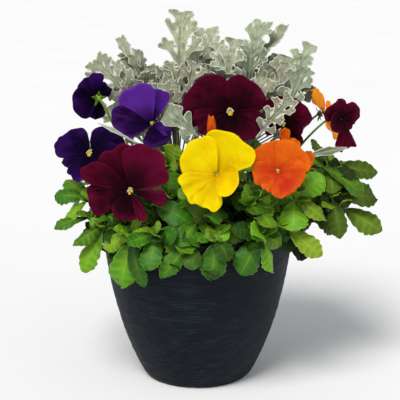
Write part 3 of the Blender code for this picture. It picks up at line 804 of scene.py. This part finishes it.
def eye_finish():
    dust = Recipe("pansy_eye", 0.55, 0.3)
    white, warm, _ = dust.split("tone")
    grit = dust.noise(2200.0, 3.0, 0.6)
    base = dust.mix(
        (150, 160, 50),
        (warm, (206, 170, 34)),
        (white.smooth(0.4, 0.8), (214, 208, 178)),
        (grit.smooth(0.5, 0.8) * 0.35, (130, 124, 60)),
    )
    return dust.finish(base, grit, 0.0002)


def build_flowers(finishes, eyes):
    for number, (name, (eye, angles, colour, size, petals)) in enumerate(FLOWERS.items()):
        rng = np.random.default_rng(200 + number)
        axes = facing(*angles)
        frame_of = (np.array(eye), *axes)
        head = Surface()
        for row in petals:
            petal(head, frame_of, rng, *row[:8], **dict(*row[8:]))
        slot = {"amber": "orange"}.get(colour, colour) + "_petal"
        head.piece("petals_" + name, finishes[colour], slot, ["flower_" + name], PETAL_THICKNESS)
        throat = Surface()
        build_eye(throat, frame_of, rng, size)
        disc = np.linspace(-1, 1, 7)
        line = np.array(eye) + axes[2] * MM * (disc[:, None] * 2.1 - 1.6)
        throat.tube(line, MM * 3.0 * np.sqrt(1.02 - disc**2), (0.0, 0.1, 0.0), sides=12)
        throat.piece("eye_" + name, eyes, slot, ["flower_" + name])


def sepal(blades, base, out, away, length, rng):
    """A narrow pointed sepal that lies along the back of a flower."""
    t, v = places(12, 5)
    tip = base + away * length + out * rng.uniform(0.0, 0.0025)
    middle = base + away * length * 0.5 - out * 0.0022
    line = bezier((base, middle, tip), t[:, 0])
    side = unit(np.cross(away, out))
    half = 0.5 * SEPAL_WIDTH * np.maximum(np.sin(math.pi * (0.12 + 0.86 * t) ** 0.8) ** 0.8, 0.06)
    lift = np.abs(v) ** 2 * half * 0.25
    points = line[:, None, :] + (v * half)[..., None] * side + lift[..., None] * out
    blades.grid(points, rows_of(v, 0.45 + 0.1 * t, 0.0), (0.45, 0.7, 0.2))


def flower_stalk(plant, seat, out):
    """A stalk from the crown to the back of a flower, where it hooks over into the calyx and its sepals."""
    rng, root = plant.rng, plant.root
    neck = seat - out * 0.0040
    rise = UP * 0.45 * (seat[2] - root[2])
    line = bezier((root, root + rise, neck - out * 0.016, neck + out * 0.001), np.linspace(0, 1, 22))
    plant.stems.tube(line, np.linspace(0.0015, 0.0011, 22), (0.5, 0.4, 0.15), sides=8)
    cup = np.linspace(0, 1, 6)
    line = seat - out * (0.0046 - 0.0044 * cup[:, None])
    plant.stems.tube(line, 0.0013 + 0.0030 * cup**0.7, (0.8, 0.4, 0.0), sides=12)
    side = unit(np.cross(UP, out))
    over = np.cross(out, side)
    for number in range(SEPALS):
        turn = 2 * math.pi * (number + 0.25) / SEPALS + rng.normal(0, 0.08)
        away = side * math.cos(turn) + over * math.sin(turn)
        back = unit(away - out * rng.uniform(0.35, 0.75))
        sepal(plant.blades, seat - out * 0.0015 + away * 0.002, out, back, rng.uniform(0.006, 0.009), rng)


def seat_of(name):
    """Where a flower's calyx meets it, and the way it faces."""
    if name == BUD[0]:
        return np.array(BUD[1]) - UP * 0.0003, UP
    eye, angles = FLOWERS[name][:2]
    out = facing(*angles)[2]
    return np.array(eye) - out * CALYX_BACK, out


def build_bud(finish):
    """A furled orange bud, its petals wrapped round each other."""
    _, foot, radius, length = BUD
    rng = np.random.default_rng(5)
    bud = Surface()
    t, v = places(22, 26, low=0)
    for wrap in range(3):
        turn = 2 * math.pi * (0.62 * v + wrap / 3) + 1.6 * t
        body = np.sin(math.pi * (0.08 + 0.72 * t) ** 0.8) ** 0.7
        swell = radius * (body * (0.80 + 0.24 * v) + 0.04 * np.sin(7 * v + wrap + 5 * t))
        top = length * (0.02 + (0.96 - 0.10 * wrap * 0.5) * t * (1 - 0.06 * np.cos(9 * v + wrap)))
        points = round_points(swell, turn, top) + np.array(foot)
        bud.grid(points, rows_of(2 * v - 1, 0.35 + 0.6 * t, 0.0), (0.6, rng.uniform(), 0.6))
    bud.piece("petals_orange_bud", finish, "orange_petal", ["orange_bud"], PETAL_THICKNESS)


# Pansy plants, in millimetres: the crown, the flowers, and the leafy shoots, each with its top and then its
# leaves as (tip x, y, z, width), with how light the leaf is and how olive where that is set. A low light
# paints shade.
PANSIES = {
    "pansy_left": ((-64, 8), ("indigo_high", "indigo_low", "violet"), (
        ((-112, -30, 200), (-150, -30, 204, 20), (-136, -48, 180, 14), (-140, 0, 212, 20)),
        ((-108, -38, 182), (-148, -55, 176, 16)),
        ((-94, -50, 176), (-126, -70, 160, 18), (-118, -72, 133, 24)),
        ((-105, 30, 205), (-148, 40, 190, 26), (-128, 66, 206, 24), (-146, 20, 170, 24)),
        ((-86, -14, 200), (-90, -46, 214, 22), (-86, 10, 224, 22)),
    )),
    "pansy_front_left": ((-44, -52), ("burgundy_low",), (
        ((-66, -90, 178), (-78, -86, 120, 30, 0.8), (-54, -98, 124, 18, 0.3), (-94, -78, 160, 18)),
        ((-40, -98, 180), (-48, -122, 150, 22), (-68, -118, 176, 18), (-20, -118, 184, 18)),
        ((-48, -56, 196), (-60, -78, 208, 22), (-28, -62, 216, 22)),
        ((-28, -44, 236), (-22, -62, 262, 24), (-50, -56, 250, 22)),
    )),
    "pansy_front": ((6, -64), ("yellow",), (
        ((-8, -100, 174), (-36, -112, 140, 20), (-4, -120, 150, 20)),
        ((18, -102, 178), (30, -122, 160, 20), (14, -113, 138, 26)),
        ((-30, -72, 208), (10, -88, 188, 30, 0.4, 0.9), (-26, -74, 240, 22)),
    )),
    "pansy_front_right": ((58, -40), ("orange", "orange_behind", "orange_side", "orange_bud"), (
        ((62, -90, 178), (42, -110, 142, 28), (74, -88, 138, 22), (56, -118, 186, 24), (34, -108, 188, 18)),
        (
            (98, -66, 208), (126, -72, 234, 26, 0.85, 0.1), (94, -92, 182, 30, 0.85, 0.1),
            (128, -78, 188, 22, 0.8, 0.7),
        ),
        ((86, -72, 182), (124, -86, 154, 22, 0.95)),
        ((52, -70, 204), (46, -92, 226, 18), (60, -94, 200, 20)),
        ((62, -44, 196), (34, -48, 206, 22), (86, -40, 212, 22)),
    )),
    "pansy_right": ((72, 16), ("burgundy_high", "burgundy_side", "burgundy_right"), (
        (
            (138, -8, 230), (190, 0, 220, 24, 0.32, 0.9), (140, -34, 206, 24, 0.5, 0.8),
            (120, -2, 258, 24, 0.3, 0.9),
        ),
        ((140, -18, 203), (192, -10, 196, 26, 0.24, 0.9), (150, -36, 158, 22, 0.35, 0.9)),
        ((148, -6, 186), (196, -12, 160, 26, 0.62, 0.8)),
        ((116, 44, 200), (162, 50, 184, 26), (134, 82, 196, 26), (156, 74, 214, 24)),
        ((92, 6, 198), (112, -18, 204, 22), (92, 36, 206, 24)),
    )),
    "pansy_back": ((-6, 66), (), (
        ((-62, 92, 192), (-100, 104, 180, 26), (-74, 134, 184, 26), (-86, 98, 150, 26)),
        ((-8, 110, 186), (-20, 152, 176, 28), (16, 148, 188, 26), (-4, 128, 140, 28)),
        ((60, 94, 192), (98, 112, 176, 26), (64, 138, 190, 26), (74, 110, 146, 26)),
        ((-10, 80, 196), (-40, 90, 206, 26), (22, 94, 208, 26)),
    )),
}

# Dusty miller plants, in millimetres: the crown and shoots as above. The leaves are lobed and stand up. After
# a leaf's width come how full its lobes are and how light it is, where those are set. A low light paints
# shade.
MILLERS = {
    "dusty_miller_left": ((-22, 12), (), (
        ((-20, 34, 300), (-16, 52, 388, 50, 0.6, 0.8)),
        ((-70, 26, 296), (-112, 26, 338, 42)),
        ((-60, 46, 305), (-88, 64, 360, 28)),
        ((-34, 6, 262), (-64, 6, 300, 20)),
        ((0, -18, 264), (-33, -27, 291, 34, 1.0, 0.5)),
        ((-63, -46, 262), (-102, -56, 285, 6, 1.0, 0.8)),
        ((-30, 70, 270), (-52, 118, 316, 40), (-14, 100, 346, 40)),
        ((-68, 60, 250), (-116, 90, 276, 38)),
    )),
    "dusty_miller_right": ((26, 40), (), (
        ((12, 58, 300), (-2, 74, 368, 26), (16, 72, 371, 26, 0.0, 0.9)),
        ((30, 36, 306), (40, 36, 360, 34, 0.7, 0.8), (22, 52, 355, 26, 0.3, 0.9)),
        ((50, 50, 306), (74, 66, 376, 46, 0.7, 0.8), (100, 70, 372, 34, 0.3, 0.5)),
        ((86, 42, 288), (124, 56, 352, 36, 0.6, 0.6), (100, 36, 340, 42, 0.8, 0.9)),
        ((62, -16, 262), (98, -24, 306, 30, 0.0, 0.0)),
        ((102, -30, 242), (158, -12, 251, 7.9, 3.4, 0.0)),
        ((58, 74, 262), (98, 112, 300, 40), (48, 120, 330, 40)),
    )),
}


def rosette(plant, top, outward, rng, count=6):
    """Young leaves that stand round a shoot's top."""
    size = 0.020 + 0.010 * fade(top[0], 0.08, 0.13)
    turn_start = rng.uniform(0, 2 * math.pi)
    side = unit(np.cross(UP, outward))
    for number in range(count):
        turn = turn_start + 2 * math.pi * number / count + rng.normal(0, 0.3)
        flat = outward * math.cos(turn) + side * math.sin(turn)
        way = unit(flat * rng.uniform(0.6, 1.1) + UP * rng.uniform(0.1, 0.9) + outward * 0.25)
        length = size * rng.uniform(0.6, 1.15)
        tip = top + way * length
        if not (clear_of_silver(tip) and clear_of_silver(0.5 * (top + tip))):
            continue
        pansy_leaf(
            plant, top - UP * rng.uniform(0.0, 0.006), tip, length * rng.uniform(0.42, 0.6), rng,
            leaf_tone(tip, rng, rng.uniform(0.1, 0.7)), face=UP - way * 0.2 + FRONT * 0.7,
            arch=rng.uniform(0.08, 0.24), fold=rng.uniform(0.1, 0.5),
        )


def clear_of_flowers(place):
    """Whether a place is neither in a flower head nor in front of its face."""
    for eye, angles, _, _, petals in FLOWERS.values():
        out = facing(*angles)[2]
        offset = np.asarray(place) - eye
        depth = offset @ out
        reach = MM * max(row[2] for row in petals)
        if -0.015 < depth < 0.060 and np.linalg.norm(offset - depth * out) < 0.88 * reach:
            return False
    return True


def clear_of_silver(place):
    """Whether a place is clear of the silver leaves that stand among the flowers at the front."""
    for _, _, shoots in MILLERS.values():
        for top, *leaves in shoots:
            foot = metres(top)
            for leaf in leaves:
                way = metres(leaf[:3]) - foot
                share = np.clip((place - foot) @ way / (way @ way), 0.0, 1.0)
                if foot[1] < 0 and np.linalg.norm(place - foot - share * way) < 0.012:
                    return False
    return True


class Plant:
    """One plant's blades and stems, which grow from its crown."""

    def __init__(self, place, seed):
        self.rng = np.random.default_rng(seed)
        self.blades, self.stems = Surface(), Surface()
        self.crown = np.array((*metres(place), MIX_TOP))
        self.root = self.crown + UP * 0.0072
        line = self.crown + np.array((0.0004, 0.005, 0.010, 0.012))[:, None] * UP
        self.stems.tube(line, (0.0050, 0.0049, 0.0042, 0.0030), (0.4, 0.5, 0.4), sides=14)

    def shoot(self, top, radius, steps=14, tone=(0.55, 0.4, 0.25)):
        """A shoot that rises from the crown and leans out to its top. Gives its Bezier controls."""
        rise = UP * 0.7 * (top[2] - self.root[2])
        controls = self.root, self.root + rise, top + (self.root - top) * 0.2 + rise * 0.2, top
        line = bezier(controls, np.linspace(0, 1, steps))
        self.stems.tube(line, np.linspace(radius, 0.7 * radius, steps), tone, sides=8)
        return controls


def plants_of(table, seed):
    return {name: Plant(row[0], seed + number) for number, (name, row) in enumerate(table.items())}


def nearest_plant(plants, place):
    """The plant whose crown is nearest to a place, seen from above."""
    return min(plants.values(), key=lambda plant: np.linalg.norm((plant.crown - place)[:2]))


def add_pieces(plants, blade, stem, slot, thickness):
    for name, plant in plants.items():
        plant.blades.piece("leaves_" + name, blade, slot, [name], thickness)
        plant.stems.piece("stems_" + name, stem, slot, [name])


CANOPY_LEAVES = 270
SKIRT_LEAVES = 72
SHADED_BACK_LEAVES = 54
SILVER_LEAVES = 84
GOLDEN_TURN = 2.39996
DOME_TOP, DOME_DROP, LAYER_DROP = 0.258, 0.066, 0.024
LEAF_THICKNESS, FELT_THICKNESS = 0.0004, 0.0007
# Leaves that close gaps in the planting, in millimetres: (foot, tip, width, light, arch). The dark ones at
# the right are painted shade.
PLACED = (
    ((-46, -76, 206), (-4, -96, 190), 26, 0.4, 0.16),
    ((122, -20, 235), (176, -16, 200), 24, 0.7, 0.16),
    ((100, -12, 236), (136, -4, 262), 24, 0.25, 0.16),
    ((116, -8, 190), (148, -14, 158), 28, 0.20, 0.2),
    ((110, -6, 196), (134, -10, 170), 24, 0.0, 0.2),
    ((116, 2, 204), (136, -2, 180), 24, 0.0, 0.2),
    ((120, -2, 206), (158, -10, 178), 22, 0.1, 0.2),
    ((106, 0, 204), (130, -10, 194), 24, 0.0, 0.2),
)


def canopy_spots(rng):
    """Leaves of a dome over the pot and a skirt round its rim, as (foot, tip, width, light, arch)."""
    spots = []
    for number in range(CANOPY_LEAVES):
        turn = GOLDEN_TURN * number + rng.normal(0, 0.2)
        away = 0.012 + 0.106 * math.sqrt((number + 0.5) / CANOPY_LEAVES)
        layer = number % 3
        height = DOME_TOP - DOME_DROP * (away / 0.12) ** 1.6 - LAYER_DROP * layer + rng.normal(0, 0.006)
        outward, side = outward_at(turn)
        foot = outward * (away - 0.004 * layer) + UP * height
        way = unit(outward + side * rng.normal(0, 0.7) + UP * rng.uniform(-0.45, 0.40))
        length = rng.uniform(0.018, 0.031)
        # Lower layers and leaves near the middle get a lower light: painted shade inside the dome.
        light = (0.72, 0.28, 0.0)[layer] * (0.35 + 0.65 * fade(away, 0.03, 0.095)) + rng.normal(0, 0.13)
        width = length * rng.uniform(0.56, 0.74)
        spots.append((foot - way * length * 0.4, foot + way * length * 0.6, width, light, 0.16))
    for number in range(SKIRT_LEAVES):
        outward, side = outward_at(2 * math.pi * (number + rng.uniform(-0.3, 0.3)) / SKIRT_LEAVES)
        foot = outward * rng.uniform(0.082, 0.094) + UP * rng.uniform(0.177, 0.190)
        front = fade(-outward[1], 0.3, 0.8)
        droop = rng.uniform(0.008, 0.040) * (1 - 0.3 * front) * (1 - 0.5 * fade(outward[0], 0.6, 0.95))
        tip = foot + outward * rng.uniform(0.016, 0.026) + side * rng.normal(0, 0.012) - UP * droop
        tip[1] = max(tip[1], -0.119)
        tip[2] = max(tip[2], 0.136 * front)
        length = np.linalg.norm(tip - foot)
        width = np.clip(length * rng.uniform(0.55, 0.75), 0.012, 0.021)
        spots.append((foot, tip, width, rng.uniform(0.15, 0.9), 0.42))
    # Dark leaves fill the right side behind its long leaves: their darkness is painted shade.
    for number in range(SHADED_BACK_LEAVES):
        share = number * 0.618 % 1
        foot = np.array((rng.uniform(0.100, 0.152), rng.uniform(-0.024, 0.034), 0.186 + 0.046 * share))
        ranges = ((0.004, 0.028), (-0.014, 0.012), (-0.018, 0.012))
        tip = foot + np.array([rng.uniform(*limits) for limits in ranges])
        spots.append((foot, tip, rng.uniform(0.014, 0.020), rng.uniform(0.0, 0.40), 0.2))
    return spots + [(metres(foot), metres(tip), width / 1000, *rest) for foot, tip, width, *rest in PLACED]


def build_pansies(leaf, green):
    plants = plants_of(PANSIES, 300)
    for name, (_, flowers, shoots) in PANSIES.items():
        plant = plants[name]
        rng = plant.rng
        for top, *leaves in shoots:
            top = metres(top)
            controls = plant.shoot(top, 0.0017)
            for x, y, z, width, *light in leaves:
                tip = metres((x, y, z))
                tone = leaf_tone(tip, rng)
                pansy_leaf(plant, top, tip, width / 1000, rng, (*light, *tone[len(light):]))
            way = unit(top * (1, 1, 0))
            rosette(plant, top, way, rng)
            for share in (0.55, 0.8):
                foot = bezier(controls, [share])[0]
                away = turned(way, UP, rng.uniform(-1.6, 1.6))
                tip = foot + away * rng.uniform(0.018, 0.030) + UP * rng.uniform(-0.006, 0.014)
                pansy_leaf(plant, foot, tip, rng.uniform(0.014, 0.020), rng, leaf_tone(tip, rng))
        for flower in flowers:
            flower_stalk(plant, *seat_of(flower))
    rng = np.random.default_rng(77)
    for foot, tip, width, light, arch in canopy_spots(rng):
        if not (clear_of_flowers(foot) and clear_of_flowers(tip) and clear_of_silver(tip)):
            continue
        plant = nearest_plant(plants, foot)
        plant.shoot(foot, 0.0010, 8, (0.2, 0.4, 0.1))
        _, olive, _ = leaf_tone(tip, rng)
        young = rng.uniform(0, 0.4) * max(light - 0.4, 0)
        # Leaves on the right are darker still: painted shade.
        light = float(np.clip(light * (1 - 0.35 * fade(tip[0], 0.05, 0.13)), 0, 1))
        pansy_leaf(plant, foot, tip, width, rng, (light, olive, young), petiole=0.12, arch=arch)
    add_pieces(plants, leaf, green, "pansy_leaf", LEAF_THICKNESS)


# Dusty miller


CELL = 0.0016
NARROW = 0.008
BLEND = 0.0005
NUDGE = 1e-5


def capsule_field(points, starts, ends, start_radii, end_radii):
    """How far points lie outside a smooth union of tapered strokes, and how far from the strokes' middles."""
    span = ends - starts
    reach = points[:, None, :] - starts
    share = np.clip((reach * span).sum(-1) / (span * span).sum(-1), 0, 1)
    away = np.linalg.norm(reach - share[..., None] * span, axis=-1)
    inner = away - (start_radii + (end_radii - start_radii) * share)
    return -BLEND * np.log(np.exp(-inner / BLEND).sum(1)), away.min(1)


def miller_strokes(length, width, rng, full):
    """The strokes of a cut leaf: the blade along the midrib and its lobes, each ending in blunt fingers."""
    thick = (0.00195 + 0.0009 * full) * (width / 0.040) ** 0.5
    blunt = 0.4 if width < NARROW else 1.2
    strokes = [
        ((0, 0), (0, 0.24 * length), 0.0009, 0.7 * thick),
        ((0, 0.24 * length), (0, 0.62 * length), 0.9 * thick, 2.0 * thick),
        ((0, 0.62 * length), (0, 0.95 * length), 2.0 * thick, blunt * thick),
    ]
    pairs = 0 if width < NARROW else max(3, round(0.58 * length / ((4.6 - 0.6 * full) * thick)))
    for number in range(pairs):
        share = number / (pairs - 1)
        for side in (-1, 1):
            at = length * (0.20 + 0.56 * share + rng.uniform(-0.012, 0.012) + 0.020 * side)
            reach = 0.5 * width * (0.66 + 0.52 * math.sin(math.pi * (0.16 + 0.56 * share)))
            reach *= rng.uniform(0.85, 1.12)
            lean = math.radians((58 - 32 * share) * (1 - 0.25 * full) + rng.normal(0, 4))
            way = np.array((side * math.sin(lean), math.cos(lean)))
            foot = np.array((0.0, at))
            end = foot + way * reach
            end[1] = min(end[1], length * 0.99)
            strokes.append((foot, end, 0.95 * thick, 1.2 * thick))
            for fork in (-1, 1):
                if rng.uniform() < 0.10:
                    continue
                turn = fork * math.radians(rng.uniform(30, 42))
                cos, sin = math.cos(turn), math.sin(turn)
                branch = np.array((way[0] * cos - way[1] * sin, way[0] * sin + way[1] * cos))
                root = foot + (end - foot) * (0.60 + 0.06 * fork)
                much = reach * rng.uniform(0.28, 0.40)
                strokes.append((root, root + branch * much, 0.80 * thick, 0.95 * thick))
    for side in (-1, 1)[:pairs]:
        root = np.array((0.0, 0.80 * length))
        reach = np.array((side * 0.13 * width, 0.14 * length))
        strokes.append((root, root + reach, 0.9 * thick, 1.0 * thick))
    return [np.array(column, float) for column in zip(*strokes)]


def miller_leaf(plant, foot, tip, width, rng, tone, face, cup=0.25, full=0.0):
    """A cut, felted leaf: its outline is the edge of a stroke field, its sheet bent along its midrib."""
    along = tip - foot
    length = np.linalg.norm(along)
    face = square_to(face, along / length)
    strokes = miller_strokes(length, width, rng, full)
    columns = int(0.66 * width / CELL) + 1
    rows = int(1.02 * length / CELL) + 2
    x, y = np.meshgrid(np.arange(-columns, columns + 1) * CELL, np.arange(-1, rows) * CELL, indexing="ij")
    flat = np.stack([x.ravel(), y.ravel()], -1)
    field, _ = capsule_field(flat, *strokes)
    shape = x.shape
    index = np.arange(flat.shape[0]).reshape(shape)
    inside = (field < 0).reshape(shape)
    cells = inside[:-1, :-1] | inside[1:, :-1] | inside[1:, 1:] | inside[:-1, 1:]
    corners = np.stack([index[:-1, :-1], index[1:, :-1], index[1:, 1:], index[:-1, 1:]], -1)[cells]
    used = np.unique(corners)
    flat_used = flat[used]
    outside = field[used] > 0
    # The points outside the outline are drawn in to it down the field's slope.
    steps = ((0, 0), (NUDGE, 0), (0, NUDGE))
    for _ in range(3):
        spots = flat_used[outside]
        here, east, north = (capsule_field(spots + step, *strokes)[0] for step in steps)
        slope = np.stack([east - here, north - here], -1) / NUDGE
        flat_used[outside] = spots - slope * (here / np.maximum((slope**2).sum(-1), 0.2))[:, None]
    field, middle = capsule_field(flat_used, *strokes)
    edge = np.clip(-field / 0.0018, 0, 1)
    controls = np.array((foot, foot + 0.5 * along + face * 0.10 * length, tip))
    share = np.clip(flat_used[:, 1] / length, 0, 1)
    line, side, out = bent(controls, face, share)
    across = flat_used[:, 0]
    hills = Waves(rng, 10, 0.016, 0.04).at(np.c_[flat_used, 0 * across])
    lift = cup * np.abs(across) + 0.0022 * hills * np.minimum(np.abs(across) / 0.006, 1)
    lift = lift + 0.0006 * (1 - edge) - 0.0003 * hump(middle, 0.0006)
    lift = lift + 2.2 * across**2 * math.copysign(1, cup)
    points = line + side * across[:, None] + out * lift[:, None]
    grain = rows_of(across / width * 2, share, edge)
    tones = rows_of(*tone, hump(middle, 0.0007))
    lookup = np.full(flat.shape[0], -1)
    lookup[used] = np.arange(len(used))
    plant.blades.add(points, lookup[corners], grain, tones)
    stalk = bezier(controls, np.linspace(0.0, 0.4, 6)) - face * 0.0006
    plant.stems.tube(stalk, np.linspace(0.0013, 0.0006, 6), (*tone, 0.0), sides=6)


def miller_finish():
    felt = Recipe(
        "silver_felt", 0.85, 0.15, Sheen_Weight=0.25, Sheen_Roughness=0.5, Sheen_Tint=(0.9, 0.92, 0.86),
    )
    _, _, edge = felt.split("grain")
    light, hue, vein = felt.split("tone")
    cloud = felt.noise(120.0, 3.0, 0.6)
    fuzz = felt.noise(1500.0, 4.0, 0.7)
    warm = felt.mix((116, 106, 76), (light, (186, 176, 146)))
    base = felt.mix(
        (92, 108, 78),
        (light, (168, 180, 150)),
        (hue, warm),
        # Painted shade: darker cloudy patches, more so away from the leaf edges.
        (edge.smooth(0.5, 1.0) * cloud.smooth(0.35, 0.6) * 0.50, (84, 98, 68)),
        (cloud.smooth(0.45, 0.7) * 0.45, (80, 94, 66)),
        (vein * 0.40, (196, 200, 180)),
        (edge.smooth(0.45, 0.0) * 0.70, (228, 232, 216)),
        (fuzz.smooth(0.5, 0.75) * 0.25, (190, 194, 176)),
    )
    return felt.finish(base, fuzz * 0.6 + vein * 0.5, 0.0005)


def build_millers(felt, stem):
    plants = plants_of(MILLERS, 400)
    for name, (_, _, shoots) in MILLERS.items():
        plant = plants[name]
        rng = plant.rng
        for top, *leaves in shoots:
            top = metres(top)
            controls = plant.shoot(top, 0.0019, 18, (0.6, 0.5, 0.0))
            for x, y, z, width, *more in leaves:
                tip = metres((x, y, z))
                away = unit(tip * (1, 1, 0))
                face = 0.6 * UP - 0.7 * away if y > 60 else 0.8 * FRONT - away * 0.3 + UP * 0.3
                light, hue = rng.uniform(0.45, 1.0), rng.uniform(0.0, 0.8)
                full, light = more or (0.0, light)
                miller_leaf(plant, top, tip, width / 1000, rng, (light, hue), face, full=full)
            for share in (0.55, 0.72, 0.88):
                foot = bezier(controls, [share])[0]
                away, _ = outward_at(rng.uniform(0, 2 * math.pi))
                length = rng.uniform(0.034, 0.050)
                tip = foot + unit(away * rng.uniform(0.5, 0.9) + UP * rng.uniform(0.6, 1.1)) * length
                tone = (rng.uniform(0.0, 0.5), rng.uniform(0.0, 1.0))
                if not all(clear_of_flowers(foot + part * (tip - foot)) for part in (0, 0.5, 1)):
                    continue
                miller_leaf(
                    plant, foot, tip, length * rng.uniform(0.6, 0.8), rng, tone,
                    UP * 0.6 - away * 0.7 + FRONT * 0.3, cup=rng.uniform(0.1, 0.45),
                )
    rng = np.random.default_rng(78)
    for number in range(SILVER_LEAVES):
        across = (number * 0.61803) % 1.0
        foot = np.array((-0.078 + 0.176 * across, rng.uniform(0.004, 0.075), rng.uniform(0.240, 0.300)))
        lean = 0.55 * foot[0] / 0.09 + rng.normal(0, 0.30)
        way = unit(np.array((lean, rng.uniform(-0.25, 0.45), 1.0)))
        length = rng.uniform(0.034, 0.054)
        tip = foot + way * length
        low = tip[2] <= 0.366 - 0.35 * abs(foot[0] - 0.01)
        if not (low and all(clear_of_flowers(foot + way * length * part) for part in (0, 0.35, 0.7, 1))):
            continue
        plant = nearest_plant(plants, foot)
        plant.shoot(foot, 0.0010, 10, (0.1, 0.5, 0.0))
        tone = (rng.uniform(0.1, 0.8), rng.uniform(0.0, 1.0))
        face = FRONT + UP * 0.3 + rng.normal(size=3) * (0.7, 0.3, 0.2)
        miller_leaf(
            plant, foot, tip, length * rng.uniform(0.6, 0.85), rng, tone, face,
            cup=rng.uniform(-0.2, 0.45), full=0.7 * fade(foot[0], -0.02, 0.06),
        )
    add_pieces(plants, felt, stem, "silver_leaf", FELT_THICKNESS)


# Light, floor and camera


def sun_light(name, source, watts, softness, colour=(1.0, 1.0, 1.0)):
    data = bpy.data.lights.new(name, "SUN")
    data.energy, data.angle, data.color = watts, math.radians(softness), colour
    add_object(name, data).rotation_euler = Vector(source).to_track_quat("Z", "Y").to_euler()


def build_sky():
    """A studio dome, white round its foot and dimmer overhead."""
    world = bpy.data.worlds.new("studio")
    world.use_nodes = True
    tree = world.node_tree
    ramp, split, place = (
        tree.nodes.new("ShaderNode" + kind) for kind in ("ValToRGB", "SeparateXYZ", "TexCoord")
    )
    tree.links.new(place.outputs["Generated"], split.inputs[0])
    tree.links.new(split.outputs["Z"], ramp.inputs["Fac"])
    tree.links.new(ramp.outputs["Color"], tree.nodes["Background"].inputs["Color"])
    low, high = ramp.color_ramp.elements
    low.position, low.color = 0.12, (0.92, 0.92, 0.92, 1.0)
    high.position, high.color = 0.65, (0.28, 0.29, 0.31, 1.0)
    bpy.context.scene.world = world


def build_stage():
    floor = Surface()
    steps = np.linspace(-15.0, 15.0, 9)
    floor.grid(rows_of(steps[:, None], steps, -0.0002))
    made = add_object("stage_floor", floor.mesh("stage_floor"))
    pale = Recipe("pale_floor", 0.8, 0.1)
    tint = pale.noise(3.0, 2.0, 0.5).ramp((0.3, (0.86, 0.86, 0.86)), (0.7, (0.88, 0.88, 0.88)))
    made.data.materials.append(pale.finish(tint))
    build_sky()
    sun_light("key", (-0.40, -0.80, 1.25), 2.7, 26.0, (1.0, 0.99, 0.97))
    sun_light("fill", (0.9, -0.9, 0.5), 0.35, 60.0)
    bpy.context.scene.view_settings.view_transform = "Standard"


def build_camera():
    data = bpy.data.cameras.new("camera")
    data.lens, data.sensor_width, data.clip_end = 99.36, 36.0, 60.0
    made = add_object("camera", data)
    made.location = (0.0024, -1.150, 0.465)
    made.rotation_euler = (math.radians(90 - 13.373), 0.0, 0.0)
    bpy.context.scene.camera = made


build_stage()
build_camera()
build_pot()
build_mix()
PETAL_FINISHES = {
    "burgundy": ((41, 2, 17), (25, 0, 10), (98, 9, 45), (4, 0, 2), (9, 0, 4), 0.55, 0.06, (1.0, 0.38)),
    "indigo": ((15, 2, 36), (10, 1, 28), (48, 15, 94), (2, 0, 8), (4, 1, 16), 0.55, 0.06, (1.0, 0.40)),
    "violet": ((58, 20, 116), (26, 2, 48), (94, 44, 156), (10, 1, 26), (24, 4, 60), 0.6, 0.08, (0.80, 0.30)),
    "yellow": ((228, 190, 0), (220, 178, 0), (240, 208, 4), (200, 140, 0), (202, 142, 0), 0.45, 0.3),
    "orange": ((212, 76, 16), (192, 38, 24), (224, 104, 20), (182, 30, 18), (172, 26, 14), 0.5, 0.3),
    # A brighter copy of the orange finish: painted light on the side flower.
    "amber": ((255, 138, 18), (255, 126, 14), (255, 152, 30), (248, 98, 12), (244, 94, 12), 0.4, 0.4),
}
petals = {name: petal_finish(name + "_petal", *row) for name, row in PETAL_FINISHES.items()}
build_flowers(petals, eye_finish())
build_bud(petals["orange"])
build_pansies(leaf_finish(), stem_finish("green_stem", (52, 92, 26), (132, 166, 62)))
build_millers(miller_finish(), stem_finish("silver_stem", (84, 94, 62), (160, 166, 136)))
